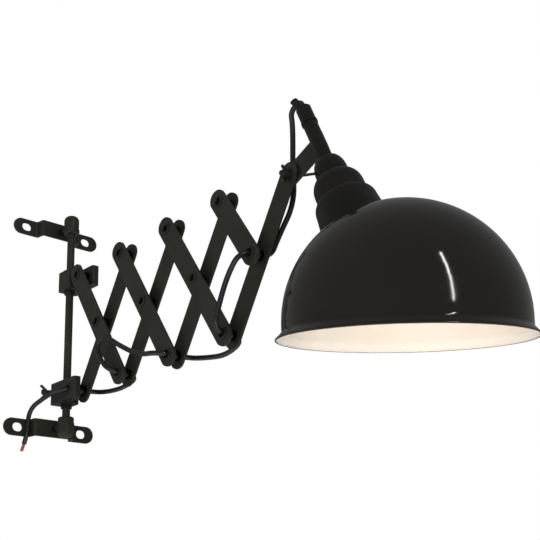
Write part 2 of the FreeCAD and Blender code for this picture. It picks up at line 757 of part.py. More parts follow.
def pipe_cord(across, along, behind):
    """A cord point at the pipe: across it away from the wall, up along its axis and behind it."""
    return (pipe_axis_x + across * math.cos(lean) - along * math.sin(lean), pipe_y + behind,
            pipe_axis_height + across * math.sin(lean) + along * math.cos(lean))


foot = [bottom_point(i) for i in range(bay_count)]
last_middle = middle_point(bay_count - 1)
last_top = top_point(bay_count)
tail_x = strap_thickness + cord_radius + tail_gap
tail_y = -(strap_step_y + strap_thickness + cord_radius + tail_gap)
cord_routes = {
    "cord_wall": [
        beside(foot[0], 0, 0, 0), beside(foot[0], 0, -26, 0), beside(foot[0], -37.5, -27.5, -5.5),
        (9.0, tail_y, 22.0), (tail_x, tail_y, -10.0), (1.0, tail_y, -20.0)],
    "cord_bay_one": [
        beside(foot[0], 0, 0, 0), beside(foot[0], 0, 22, 0), beside(foot[0], 30.5, 23, -5.5),
        beside(foot[1], -30.1, 23, -7), beside(foot[1], 0, 22, 0), beside(foot[1], 0, 0, 0)],
    "cord_bay_two": [
        beside(foot[1], 0, 0, 0), beside(foot[1], 0, -21, 0), beside(foot[1], -22, -20, 20.5),
        beside(foot[1], -30, -20, 40.5), beside(foot[1], -12, -19, 46.5), beside(foot[1], 18, -18, 26.5),
        beside(foot[2], -38.7, -18.5, 6.5), beside(foot[2], 0, -22, 0), beside(foot[2], 0, 0, 0)],
    "cord_bay_three": [
        beside(foot[2], 0, 0, 0), beside(foot[2], 0, 22, 0), beside(foot[2], 29.3, 23, -6.5),
        beside(foot[3], -30.3, 24, -11.5), beside(foot[3], 0, 23, 0), beside(foot[3], 0, 0, 0)],
    "cord_bay_four": [
        beside(foot[3], 0, 0, 0), beside(foot[3], 0, -21, 0), beside(foot[3], 9.7, -21, 26.5),
        beside(last_middle, -21.6, -21, -20.1), beside(last_middle, 0, -21, 0),
        beside(last_middle, 0, 0, 0)],
    "cord_back": [
        beside(last_middle, 0, 0, 0), beside(last_middle, 0, 21, 0), beside(last_middle, 12.4, 22.5, 20.9),
        beside(last_top, -8.0, 23, -24.6), beside(last_top, -7.8, 23, -2.7)],
    "cord_upper": [
        beside(last_top, -7.8, 23, -2.7), beside(last_top, -7.6, 23, 19.2), beside(last_top, -1.5, 19, 42),
        beside(last_top, 5.5, 13, 62), pipe_cord(-17.0, 80.0, 2.0), pipe_cord(0.8, 81.0, 1.4),
        pipe_cord(0.0, 60.0, 0.4), pipe_cord(-0.1, 9.7, 0), pipe_cord(0.0, -15.7, 0)],
}
for name, route in cord_routes.items():
    save(name, tube_path(route, cord_radius, name))

# Two stripped conductors leave the wall end of the cord.
tail_end = vec(*cord_routes["cord_wall"][-1])
tail_direction = (tail_end - vec(*cord_routes["cord_wall"][-2])).normalize()
conductors = []
for side in (-1, 1):
    start = tail_end + vec(0, side * conductor_offset, 0)
    conductors.append(cylinder(conductor_diameter / 2, start, tail_direction, conductor_length))
save("conductors", Part.makeCompound(conductors))
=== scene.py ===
import json
import math

import bmesh
import bpy
import numpy as np
from mathutils import Matrix, Vector


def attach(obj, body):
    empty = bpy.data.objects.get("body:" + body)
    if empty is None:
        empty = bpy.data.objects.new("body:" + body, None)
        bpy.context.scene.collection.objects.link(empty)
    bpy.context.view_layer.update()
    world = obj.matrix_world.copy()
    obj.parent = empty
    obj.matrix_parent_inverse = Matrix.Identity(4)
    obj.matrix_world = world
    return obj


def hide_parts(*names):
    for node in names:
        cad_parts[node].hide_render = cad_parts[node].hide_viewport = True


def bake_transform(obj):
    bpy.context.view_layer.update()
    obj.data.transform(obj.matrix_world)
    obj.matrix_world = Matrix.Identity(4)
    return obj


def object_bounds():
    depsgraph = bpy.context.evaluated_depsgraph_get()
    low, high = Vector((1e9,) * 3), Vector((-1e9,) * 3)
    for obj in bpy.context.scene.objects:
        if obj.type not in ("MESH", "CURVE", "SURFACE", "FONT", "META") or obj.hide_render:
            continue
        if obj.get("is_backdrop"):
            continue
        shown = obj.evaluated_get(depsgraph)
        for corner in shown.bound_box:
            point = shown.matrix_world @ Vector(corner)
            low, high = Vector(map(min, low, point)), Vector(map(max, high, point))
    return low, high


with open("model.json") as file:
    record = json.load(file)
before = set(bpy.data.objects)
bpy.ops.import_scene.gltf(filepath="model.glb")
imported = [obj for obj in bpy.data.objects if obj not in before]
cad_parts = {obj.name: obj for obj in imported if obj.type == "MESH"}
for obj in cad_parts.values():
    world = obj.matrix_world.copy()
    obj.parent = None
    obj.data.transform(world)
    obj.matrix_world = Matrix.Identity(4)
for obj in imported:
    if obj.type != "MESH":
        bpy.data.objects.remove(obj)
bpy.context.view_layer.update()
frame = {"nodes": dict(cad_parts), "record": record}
bodyOf = {node: body for body, nodes in frame["record"]["behaviour"]["bodies"].items() for node in nodes}
print("frame loaded:", len(frame["nodes"]), "CAD nodes")

mm = 0.001

# The lamp's main sizes in metres, the same as in the CAD source. Front is -Y, X runs out from the wall.
lamp = {
    "rodX": 0.040, "rodRadius": 0.005, "rodLow": -0.007, "rodHigh": 0.279,
    "pivotX": 0.0695, "lowZ": 0.0395, "barLength": 0.180, "foldAngle": 31.7, "bays": 4,
    "frontFace": -0.0095, "frontBack": -0.0065, "backFront": 0.0065, "backFace": 0.0095,
    "lugOuter": 0.017, "faceGap": 0.00015,
    "pipePoint": (0.5025, 0.00375, 0.195), "pipeLean": 20.5,
    "headDistance": 0.233, "headTurn": -11.6, "shadeTilt": 30.0,
}
halfFold = math.radians(lamp["foldAngle"])
bay = lamp["barLength"] * math.sin(halfFold)
highZ = lamp["lowZ"] + lamp["barLength"] * math.cos(halfFold)
midZ = (lamp["lowZ"] + highZ) / 2
lastTopX = lamp["pivotX"] + lamp["bays"] * bay
lastMiddle = (lamp["pivotX"] + (lamp["bays"] - 0.5) * bay, midZ)


# Frames of the leaning pieces.
def turnAbout(axis, degrees):
    return np.array(Matrix.Rotation(math.radians(degrees), 3, axis))


leanTurn = turnAbout("Y", -lamp["pipeLean"])
headFrame = leanTurn @ turnAbout("Z", lamp["headTurn"])
pipeOrigin = np.array(lamp["pipePoint"])
pipeUp = leanTurn @ np.array([0, 0, 1.0])
rimCentre = pipeOrigin - pipeUp * lamp["headDistance"]
shadeAxisLocal = turnAbout("Y", lamp["shadeTilt"]) @ np.array([0, 0, 1.0])
shadeAxis = headFrame @ shadeAxisLocal


def placed(points, turn, origin):
    return points @ np.asarray(turn).T + np.asarray(origin)


# Meshes from grids.
def gridFaces(rows, columns, closeRows=False):
    # Quads between neighbours of a rows x columns grid, whose columns close in a ring and whose rows may too.
    r, c = np.meshgrid(np.arange(rows if closeRows else rows - 1), np.arange(columns), indexing="ij")
    r2, c2 = (r + 1) % rows, (c + 1) % columns
    quads = [r * columns + c, r * columns + c2, r2 * columns + c2, r2 * columns + c]
    return np.stack(quads, -1).reshape(-1, 4)


def meshObject(name, parts, body, replaces=(), materials=(), smooth=True):
    # One object from several (points, faces, material index) parts, all in the row's frame.
    points, faces, slots, base = [], [], [], 0
    for part in parts:
        pts, fcs = part[0], part[1]
        points.append(np.asarray(pts, float).reshape(-1, 3))
        faces.append(np.asarray(fcs, int) + base)
        slots.append(np.broadcast_to(part[2] if len(part) > 2 else 0, len(fcs)))
        base += len(points[-1])
    allPoints = np.concatenate(points)
    loops = np.concatenate([f.ravel() for f in faces])
    counts = np.concatenate([np.full(len(f), f.shape[1]) for f in faces])
    me = bpy.data.meshes.new(name)
    me.vertices.add(len(allPoints))
    me.vertices.foreach_set("co", allPoints.astype(np.float32).ravel())
    me.loops.add(len(loops))
    me.loops.foreach_set("vertex_index", loops.astype(np.int32))
    me.polygons.add(len(counts))
    me.polygons.foreach_set("loop_start", np.concatenate([[0], np.cumsum(counts)[:-1]]).astype(np.int32))
    me.polygons.foreach_set("material_index", np.concatenate(slots).astype(np.int32))
    me.polygons.foreach_set("use_smooth", np.full(len(counts), smooth))
    me.update(calc_edges=True)
    me.validate()
    for material in materials:
        me.materials.append(material)
    obj = bpy.data.objects.new(name, me)
    bpy.context.scene.collection.objects.link(obj)
    if body:
        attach(obj, body)
    if replaces:
        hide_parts(*replaces)
    return obj


def fixNormals(obj):
    bm = bmesh.new()
    bm.from_mesh(obj.data)
    bmesh.ops.recalc_face_normals(bm, faces=bm.faces)
    bm.to_mesh(obj.data)
    bm.free()
    return obj


def hardPiece(name, parts, node, slotName, *materials):
    # A piece that stands for one CAD node and rides on that node's body.
    return fixNormals(meshObject(name, parts, bodyOf[node], (node,), materials))


def lathe(profile, turn=np.eye(3), origin=(0, 0, 0), columns=96):
    # Surface of revolution of a closed profile: point = (r cos a, r sin a, h), where (r, h) runs along the
    # profile and a round the axis.
    profile = np.asarray(profile, float)
    angle = np.linspace(0, 2 * np.pi, columns, endpoint=False)
    r, h = profile[:, 0][:, None], profile[:, 1][:, None]
    points = np.stack([r * np.cos(angle), r * np.sin(angle), h + 0 * angle], -1)
    faces = gridFaces(len(profile), columns, closeRows=True)[:, ::-1]
    return placed(points.reshape(-1, 3), turn, origin), faces


def ringSection(inner, outer, low, high):
    # Corners of the half section of a plain ring, tube or, from the axis, a disc.
    return [(inner, low), (outer, low), (outer, high), (inner, high)]


def roundedLoop(corners, radius, steps=4):
    # Closed outline of (r, h) corners, each replaced by the quadratic curve (1-t)^2 a + 2t(1-t) corner + t^2 b
    # between the points a and b that lie radius before and after it.
    corners = np.asarray(corners, float)
    out = []
    for k, corner in enumerate(corners):
        before, after = corners[k - 1], corners[(k + 1) % len(corners)]
        cut = radius[k] if hasattr(radius, "__len__") else radius
        a = corner + (before - corner) / max(np.linalg.norm(before - corner), 1e-9) * cut
        b = corner + (after - corner) / max(np.linalg.norm(after - corner), 1e-9) * cut
        t = np.linspace(0, 1, steps + 1)[:, None]
        out.append((1 - t) ** 2 * a + 2 * t * (1 - t) * corner + t ** 2 * b)
    return np.concatenate(out)


alongY = turnAbout("X", -90)          # turns local Z to +Y
alongX = turnAbout("Y", 90)           # turns local Z to +X


# Materials.
def linear(hexColour):
    # sRGB hex to linear light, as the shader wants it.
    c = [int(hexColour[i:i + 2], 16) / 255 for i in (1, 3, 5)]
    return [v / 12.92 if v <= 0.04045 else ((v + 0.055) / 1.055) ** 2.4 for v in c] + [1.0]


def addNode(tree, kind, values=None, links=None, stops=(), **settings):
    # Adds a node, sets its properties, input values and colour stops, and links its inputs to other outputs.
    node = tree.nodes.new("ShaderNode" + kind)
    for key, value in settings.items():
        setattr(node, key, value)
    for key, value in (values or {}).items():
        node.inputs[key].default_value = value
    for key, source in (links or {}).items():
        tree.links.new(source, node.inputs[key])
    for k, (place, hexColour) in enumerate(stops):
        node.color_ramp.elements[k].position = place
        node.color_ramp.elements[k].color = linear(hexColour)
    return node


def newMaterial(name):
    material = bpy.data.materials.new(name)
    material.use_nodes = True
    return material, material.node_tree, material.node_tree.nodes["Principled BSDF"]


def joinSurface(tree, shader, tint, gloss, bump):
    # Colour, roughness and bump go to the shader.
    tree.links.new(tint.outputs["Color"], shader.inputs["Base Color"])
    tree.links.new(gloss.outputs["Result"], shader.inputs["Roughness"])
    tree.links.new(bump.outputs["Normal"], shader.inputs["Normal"])


def coatedSteel(name, s):
    # Powder coat on steel: a fine orange-peel bump, and broad changes of gloss and tone.
    material, tree, shader = newMaterial(name)
    place = addNode(tree, "TexCoord").outputs["Object"]
    peel = addNode(tree, "TexNoise",
                   {"Scale": 1 / s["peelSize"], "Detail": 2.0, "Roughness": 0.5}, {"Vector": place})
    cloud = addNode(tree, "TexNoise", {"Scale": 1 / s["cloudSize"], "Detail": 4.0}, {"Vector": place})
    tint = addNode(tree, "ValToRGB", links={"Fac": cloud.outputs["Fac"]},
                   stops=[(0.35, s["colour"]), (0.68, s["colourWorn"])])
    gloss = addNode(tree, "MapRange",
                    {"From Min": 0.3, "From Max": 0.7, "To Min": s["roughness"] - 0.05,
                     "To Max": s["roughness"] + 0.07}, {"Value": cloud.outputs["Fac"]})
    bump = addNode(tree, "Bump", {"Strength": s["peelStrength"], "Distance": s["peelDepth"]},
                   {"Height": peel.outputs["Fac"]})
    joinSurface(tree, shader, tint, gloss, bump)
    shader.inputs["IOR"].default_value = 1.5
    shader.inputs["Specular IOR Level"].default_value = s.get("specular", 0.5)
    shader.inputs["Coat Weight"].default_value = s.get("coat", 0.0)
    shader.inputs["Coat Roughness"].default_value = s.get("coatRoughness", 0.2)
    return material


# Satin black polyester powder coat: even, slightly pebbled, soft wide highlights.
powderCoat = coatedSteel("satin_powder_coat", {
    "colour": "#1B1C18", "colourWorn": "#22231E", "roughness": 0.42, "peelSize": 1.4 * mm,
    "peelDepth": 0.03 * mm, "peelStrength": 0.25, "cloudSize": 40 * mm, "specular": 0.32})
# The same coat on castings: the sand texture shows through.
castCoat = coatedSteel("coated_casting", {
    "colour": "#1B1C19", "colourWorn": "#22221E", "roughness": 0.44, "peelSize": 1.0 * mm,
    "peelDepth": 0.06 * mm, "peelStrength": 0.35, "cloudSize": 18 * mm, "specular": 0.32})
# Semi-gloss stove enamel on the spun neck and the drawn pipe: smoother than the powder coat.
stoveEnamel = coatedSteel("stove_enamel", {
    "colour": "#0C0C0B", "colourWorn": "#11100F", "roughness": 0.34, "peelSize": 2.4 * mm,
    "peelDepth": 0.02 * mm, "peelStrength": 0.2, "cloudSize": 50 * mm, "specular": 0.30})
# Blackened steel of screws and rivets: dark oxide with a dull metal sheen and lighter rubbed places.
blackOxide = coatedSteel("black_oxide_steel", {
    "colour": "#100F0E", "colourWorn": "#1C1B19", "roughness": 0.34, "peelSize": 0.6 * mm,
    "peelDepth": 0.02 * mm, "peelStrength": 0.2, "cloudSize": 6 * mm, "specular": 0.45})


def platedMetal(name, s):
    # Plated or drawn metal: fine tool rings in bands along one axis and faint cloudiness.
    material, tree, shader = newMaterial(name)
    place = addNode(tree, "TexCoord").outputs["Object"]
    cloud = addNode(tree, "TexNoise", {"Scale": 1 / s["cloudSize"], "Detail": 3.0}, {"Vector": place})
    tint = addNode(tree, "ValToRGB", links={"Fac": cloud.outputs["Fac"]},
                   stops=[(0.3, s["colour"]), (0.75, s["colourDull"])])
    rings = addNode(tree, "TexWave",
                    {"Scale": 1 / s["ringPitch"] / 6.28, "Distortion": 0.6, "Detail": 1.0},
                    {"Vector": place}, bands_direction=s["ringAxis"])
    bump = addNode(tree, "Bump", {"Strength": 0.25, "Distance": 0.02 * mm}, {"Height": rings.outputs["Fac"]})
    gloss = addNode(tree, "MapRange",
                    {"To Min": s["roughness"] - 0.06, "To Max": s["roughness"] + 0.1},
                    {"Value": cloud.outputs["Fac"]})
    joinSurface(tree, shader, tint, gloss, bump)
    shader.inputs["Metallic"].default_value = 1.0
    return material


# Black chrome on the turned sleeves: dark, with one small sharp highlight. The rings are drawn at 0.5 mm,
# coarser than a lathe leaves them.
blackChrome = platedMetal("black_chrome_plate", {
    "colour": "#3A3A38", "colourDull": "#2C2C2A", "roughness": 0.16,
    "cloudSize": 5 * mm, "ringPitch": 0.5 * mm, "ringAxis": "Y"})
# Brass screw shell, slightly tarnished.
brass = platedMetal("drawn_brass", {
    "colour": "#C9A45C", "colourDull": "#9A7A3C", "roughness": 0.28,
    "cloudSize": 7 * mm, "ringPitch": 0.8 * mm, "ringAxis": "Z"})
# Bare copper strands.
copper = platedMetal("bare_copper", {
    "colour": "#C77B52", "colourDull": "#9B5738", "roughness": 0.32,
    "cloudSize": 2 * mm, "ringPitch": 0.6 * mm, "ringAxis": "Z"})


def glossEnamel(name, s):
    # Wet-sprayed gloss enamel on spun steel: the spinning rings stand round the shade's axis under the gloss.
    material, tree, shader = newMaterial(name)
    place = addNode(tree, "TexCoord").outputs["Object"]
    fromRim = addNode(tree, "VectorMath", {1: rimCentre}, {0: place}, operation="SUBTRACT")
    height = addNode(tree, "VectorMath", {1: shadeAxis}, {0: fromRim.outputs[0]},
                     operation="DOT_PRODUCT").outputs["Value"]
    wide = addNode(tree, "TexNoise", {"Scale": 1 / s["ringWidth"], "Detail": 1.5, "Roughness": 0.5},
                   {"W": height}, noise_dimensions="1D")
    fine = addNode(tree, "TexNoise", {"Scale": 1 / s["lineWidth"], "Detail": 1.0}, {"W": height},
                   noise_dimensions="1D")
    # the fine lines come in bands: a slow noise along the axis says where they are strong
    band = addNode(tree, "TexNoise", {"Scale": 1 / s["bandWidth"]}, {"W": height},
                   noise_dimensions="1D")
    strong = addNode(tree, "MapRange", {"From Min": 0.5, "From Max": 0.66}, {"Value": band.outputs["Fac"]})
    lines = addNode(tree, "Math", links={0: fine.outputs["Fac"], 1: strong.outputs["Result"]},
                    operation="MULTIPLY")
    both = addNode(tree, "Math", {1: s["lineShare"]}, {0: lines.outputs[0], 2: wide.outputs["Fac"]},
                   operation="MULTIPLY_ADD")
    peel = addNode(tree, "TexNoise", {"Scale": 1 / s["peelSize"], "Detail": 2.0}, {"Vector": place})
    ringBump = addNode(tree, "Bump", {"Strength": s["ringStrength"], "Distance": s["ringDepth"]},
                       {"Height": both.outputs[0]})
    bump = addNode(tree, "Bump", {"Strength": s["peelStrength"], "Distance": s["peelDepth"]},
                   {"Height": peel.outputs["Fac"], "Normal": ringBump.outputs["Normal"]})
    cloud = addNode(tree, "TexNoise", {"Scale": 1 / s["cloudSize"], "Detail": 5.0}, {"Vector": place})
    tint = addNode(tree, "ValToRGB", links={"Fac": cloud.outputs["Fac"]},
                   stops=[(0.3, s["colour"]), (0.7, s["colourTwo"])])
    gloss = addNode(tree, "MapRange",
                    {"From Min": 0.35, "From Max": 0.65, "To Min": s["roughness"],
                     "To Max": s["roughness"] + s["glossSpread"]}, {"Value": cloud.outputs["Fac"]})
    joinSurface(tree, shader, tint, gloss, bump)
    shader.inputs["IOR"].default_value = 1.52
    return material


# Gloss black enamel: deep and mirror-like, with the spinner's rings in its reflections.
blackEnamel = glossEnamel("gloss_black_enamel", {
    "colour": "#0F0E0C", "colourTwo": "#141210", "roughness": 0.07, "glossSpread": 0.04, "ringWidth": 5 * mm,
    "lineWidth": 0.9 * mm, "bandWidth": 22 * mm, "lineShare": 0.5, "ringStrength": 0.5,
    "ringDepth": 0.05 * mm, "peelSize": 5 * mm, "peelDepth": 0.02 * mm, "peelStrength": 0.4,
    "cloudSize": 60 * mm})
# White reflector enamel inside the shade.
whiteEnamel = glossEnamel("white_reflector_enamel", {
    "colour": "#FAF7F1", "colourTwo": "#F6F1E8", "roughness": 0.32, "glossSpread": 0.08, "ringWidth": 5 * mm,
    "lineWidth": 0.9 * mm, "bandWidth": 22 * mm, "lineShare": 0.4, "ringStrength": 0.25,
    "ringDepth": 0.03 * mm, "peelSize": 4 * mm, "peelDepth": 0.02 * mm, "peelStrength": 0.3,
    "cloudSize": 45 * mm})
# Glazed porcelain of the lampholder.
porcelain = glossEnamel("glazed_porcelain", {
    "colour": "#E9E5DA", "colourTwo": "#DDD8CB", "roughness": 0.16, "glossSpread": 0.06, "ringWidth": 6 * mm,
    "lineWidth": 1.0 * mm, "bandWidth": 15 * mm, "lineShare": 0.2, "ringStrength": 0.1,
    "ringDepth": 0.03 * mm, "peelSize": 3 * mm, "peelDepth": 0.03 * mm, "peelStrength": 0.4,
    "cloudSize": 20 * mm})


def pvcSheath(name, s):
    # Extruded PVC: long shallow draw lines along the cord's own U, and a slight grain.
    material, tree, shader = newMaterial(name)
    uv = addNode(tree, "UVMap", uv_map="along").outputs["UV"]
    stretch = addNode(tree, "Mapping",
                      {"Scale": (1 / s["lineLength"], s["linesRound"], 1.0)}, {"Vector": uv})
    lines = addNode(tree, "TexNoise", {"Scale": 1.0, "Detail": 3.0}, {"Vector": stretch.outputs["Vector"]})
    place = addNode(tree, "TexCoord").outputs["Object"]
    grain = addNode(tree, "TexNoise", {"Scale": 1 / s["grainSize"], "Detail": 2.0}, {"Vector": place})
    lineBump = addNode(tree, "Bump", {"Strength": 0.35, "Distance": s["lineDepth"]},
                       {"Height": lines.outputs["Fac"]})
    bump = addNode(tree, "Bump", {"Strength": 0.25, "Distance": s["grainDepth"]},
                   {"Height": grain.outputs["Fac"], "Normal": lineBump.outputs["Normal"]})
    tint = addNode(tree, "ValToRGB", links={"Fac": lines.outputs["Fac"]},
                   stops=[(0.35, s["colour"]), (0.7, s["colourTwo"])])
    gloss = addNode(tree, "MapRange",
                    {"To Min": s["roughness"] - 0.05, "To Max": s["roughness"] + 0.1},
                    {"Value": grain.outputs["Fac"]})
    joinSurface(tree, shader, tint, gloss, bump)
    shader.inputs["IOR"].default_value = 1.53
    return material


# Glossy black PVC sheath of the cord.
blackSheath = pvcSheath("black_pvc_sheath", {
    "colour": "#0F1012", "colourTwo": "#15161A", "roughness": 0.26, "lineLength": 60 * mm, "linesRound": 6.0,
    "lineDepth": 0.012 * mm, "grainSize": 2.5 * mm, "grainDepth": 0.003 * mm})
print("materials made")

# Camera.
cameraSettings = {
    "place": (1.0901, -0.65831, -0.26851), "lens": 64.79, "sensor": 36.0, "nearest": 0.01, "farthest": 50,
    "right": (0.68781, 0.72444, -0.04593), "up": (0.28976, -0.21599, 0.93241),
    "forward": (-0.66555, 0.65463, 0.35847),
}
cameraData = bpy.data.cameras.new("camera")
camera = bpy.data.objects.new("camera", cameraData)
bpy.context.scene.collection.objects.link(camera)
cameraData.lens = cameraSettings["lens"]
cameraData.sensor_width = cameraSettings["sensor"]
cameraData.clip_start = cameraSettings["nearest"]
cameraData.clip_end = cameraSettings["farthest"]
backward = [-v for v in cameraSettings["forward"]]
turn = Matrix([cameraSettings["right"], cameraSettings["up"], backward]).transposed()
camera.matrix_world = Matrix.Translation(cameraSettings["place"]) @ turn.to_4x4()
bpy.context.scene.camera = camera


# Cord.
# Its route points are chosen, the same as in the CAD source.
def fromPivot(x, z, *points):
    # (dx, y, dz) in millimetres from a pivot seen from the front.
    return [(x + dx * mm, y * mm, z + dz * mm) for dx, y, dz in points]


def fromPipe(*points):
    # (across, along, behind) in millimetres: across the pipe from the wall, up along its axis and behind it.
    return [tuple(placed(np.array([across * mm, behind * mm, along * mm]), leanTurn, pipeOrigin))
            for across, along, behind in points]


footX = [lamp["pivotX"] + k * bay for k in range(4)]
lowZ = lamp["lowZ"]
tailX, tailY = 7.4 * mm, -35.4 * mm
cordSettings = {"radius": 3.0 * mm, "sides": 20, "step": 1.5 * mm, "leadStart": 12, "tailEnd": 8}
cordRoutes = {
    "cord_wall": fromPivot(footX[0], lowZ, (0, 0, 0), (0, -26, 0), (-37.5, -27.5, -5.5))
    + [(9 * mm, tailY, 22 * mm), (tailX, tailY, -10 * mm), (1 * mm, tailY, -20 * mm)],
    "cord_bay_one": fromPivot(footX[0], lowZ, (0, 0, 0), (0, 22, 0), (30.5, 23, -5.5))
    + fromPivot(footX[1], lowZ, (-30.1, 23, -7), (0, 22, 0), (0, 0, 0)),
    "cord_bay_two": fromPivot(footX[1], lowZ, (0, 0, 0), (0, -21, 0), (-22, -20, 20.5), (-30, -20, 40.5),
                              (-12, -19, 46.5), (18, -18, 26.5))
    + fromPivot(footX[2], lowZ, (-38.7, -18.5, 6.5), (0, -22, 0), (0, 0, 0)),
    "cord_bay_three": fromPivot(footX[2], lowZ, (0, 0, 0), (0, 22, 0), (29.3, 23, -6.5))
    + fromPivot(footX[3], lowZ, (-30.3, 24, -11.5), (0, 23, 0), (0, 0, 0)),
    "cord_bay_four": fromPivot(footX[3], lowZ, (0, 0, 0), (0, -21, 0), (9.7, -21, 26.5))
    + fromPivot(*lastMiddle, (-21.6, -21, -20.1), (0, -21, 0), (0, 0, 0)),
    "cord_back": fromPivot(*lastMiddle, (0, 0, 0), (0, 21, 0), (12.4, 22.5, 20.9))
    + fromPivot(lastTopX, highZ, (-8.0, 23, -24.6), (-7.8, 23, -2.7)),
    "cord_upper": fromPivot(lastTopX, highZ, (-7.8, 23, -2.7), (-7.6, 23, 19.2), (-1.5, 19, 42), (5.5, 13, 62))
    + fromPipe((-17.0, 80.0, 2.0), (0.8, 81.0, 1.4), (0.0, 60.0, 0.4), (-0.1, 9.7, 0), (0.0, -15.7, 0)),
}
# how a stretch would cross its joint: the two bodies and the route points between which it would turn. Only whether a
# stretch is listed is used: a listed stretch rides on no body. A stretch that isn't here rides on one bar, and the
# wall stretch is split below.
cordJoints = {
    "cord_bay_one": ("back_bar_1", "front_bar_1", 1, 4),
    "cord_bay_two": ("back_bar_2", "front_bar_2", 2, 7),
    "cord_bay_three": ("back_bar_3", "front_bar_3", 1, 4),
    "cord_upper": ("back_bar_4", "arm", 0, 3),
}


def smoothLine(name, route):
    # The route's NURBS spline of order 3, read as points from a curve with no bevel.
    data = bpy.data.curves.new(name + "_route", "CURVE")
    data.dimensions = "3D"
    spline = data.splines.new("NURBS")
    spline.points.add(len(route) - 1)
    for point, co in zip(spline.points, route):
        point.co = (*co, 1.0)
    spline.order_u = 3
    spline.use_endpoint_u = True
    spline.resolution_u = 24
    holder = bpy.data.objects.new(name + "_route", data)
    me = bpy.data.meshes.new_from_object(holder)
    line = np.array([v.co for v in me.vertices])
    bpy.data.objects.remove(holder)
    bpy.data.curves.remove(data)
    bpy.data.meshes.remove(me)
    keep = np.concatenate([[True], np.linalg.norm(np.diff(line, axis=0), axis=1) > 1e-7])
    return line[keep]


def evenly(line, step):
    # The same line with points a constant distance apart.
    run = np.concatenate([[0], np.cumsum(np.linalg.norm(np.diff(line, axis=0), axis=1))])
    where = np.linspace(0, run[-1], max(8, int(run[-1] / step)))
    return np.stack([np.interp(where, run, line[:, k]) for k in range(3)], -1), run[-1]


def sweptFrames(line):
    # Tangents and a side vector carried along the line without twist: each side is the last one less its part
    # along the new tangent.
    tangent = np.gradient(line, axis=0)
    tangent /= np.linalg.norm(tangent, axis=1)[:, None]
    side = np.zeros_like(line)
    first = np.cross(tangent[0], [0.3, 0.1, 1.0])
    side[0] = first / np.linalg.norm(first)
    for k in range(1, len(line)):
        s = side[k - 1] - tangent[k] * np.dot(side[k - 1], tangent[k])
        side[k] = s / np.linalg.norm(s)
    return tangent, side, np.cross(tangent, side)


def tubeAlong(line, radius, sides):
    # Tube: point = line(t) + r (side cos a + other sin a), closed at each end by a slightly crowned cap.
    tangent, side, other = sweptFrames(line)
    angle = np.linspace(0, 2 * np.pi, sides, endpoint=False)
    across = side[:, None, :] * np.cos(angle)[None, :, None] + other[:, None, :] * np.sin(angle)[None, :, None]
    points = (line[:, None, :] + radius * across).reshape(-1, 3)
    faces = gridFaces(len(line), sides)
    crown = radius * 0.05
    caps = np.array([line[0] - tangent[0] * crown, line[-1] + tangent[-1] * crown])
    base = len(points)
    k = np.arange(sides)
    start = np.stack([np.full(sides, base), (k + 1) % sides, k], -1)
    last = (len(line) - 1) * sides
    end = np.stack([np.full(sides, base + 1), last + k, last + (k + 1) % sides], -1)
    return np.concatenate([points, caps]), faces, np.concatenate([start, end])


def addAlongUv(obj, rows, sides, length):
    # UV: U is the distance along in metres, V goes once round.
    uv = obj.data.uv_layers.new(name="along")
    vertex = np.zeros(len(obj.data.loops), np.int32)
    obj.data.loops.foreach_get("vertex_index", vertex)
    u = np.minimum(vertex // sides, rows - 1) / (rows - 1) * length
    v = (vertex % sides) / sides
    uv.data.foreach_set("uv", np.stack([u, v], -1).astype(np.float32).ravel())


def cordPiece(name, node, line, length, ends):
    # One tube along a line. With ends given it rides on no body and keeps its place in the row's frame; without them
    # it rides on its node's body.
    points, faces, caps = tubeAlong(line, cordSettings["radius"], cordSettings["sides"])
    piece = meshObject(name + "_sheath", [(points, faces), (points, caps)], None if ends else bodyOf[node],
                       (node,), [blackSheath])
    # both parts share their points, so the second copy is merged away
    bm = bmesh.new()
    bm.from_mesh(piece.data)
    bmesh.ops.remove_doubles(bm, verts=bm.verts, dist=1e-7)
    bm.to_mesh(piece.data)
    bm.free()
    addAlongUv(piece, len(line), cordSettings["sides"], length)
    piece.data.polygons.foreach_set("use_smooth", np.full(len(piece.data.polygons), True))
    if ends:
        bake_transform(piece)
    print("cord", name, round(length / mm, 1), "mm")


for name, route in cordRoutes.items():
    line, length = evenly(smoothLine(name, route), cordSettings["step"])
    if name == "cord_wall":
        # the stretch is split at its middle: the lead is listed with the block and the slider, the tail with the
        # slider and the wall mount
        middle = len(line) // 2
        half = length * middle / (len(line) - 1)
        lead = ("lower_block", "slider", line[cordSettings["leadStart"]], line[middle])
        tail = ("slider", "wall_mount", line[middle], line[-cordSettings["tailEnd"]])
        cordPiece("cord_wall_lead", name, line[:middle + 1], half, lead)
        cordPiece("cord_wall_tail", name, line[middle:], length - half, tail)
    else:
        joint = cordJoints.get(name)
        ends = (joint[0], joint[1], route[joint[2]], route[joint[3]]) if joint else None
        cordPiece(name, name, line, length, ends)


# Shade.
shadeSettings = {
    "radius": 110.5 * mm, "wall": 1.0 * mm, "band": 15 * mm, "lipHeight": 7 * mm, "lipRadius": 116 * mm,
    "bead": 0.9 * mm, "hole": 29 * mm, "rows": 88, "columns": 224, "whiteBeadRows": 5,
    "waveDepth": 0.012 * mm,
    "waves": [(61, 1.0, 0.0), (143, 0.6, 1.0), (29, 0.5, 2.0)],   # waves to a radian, share of the depth, phase
}


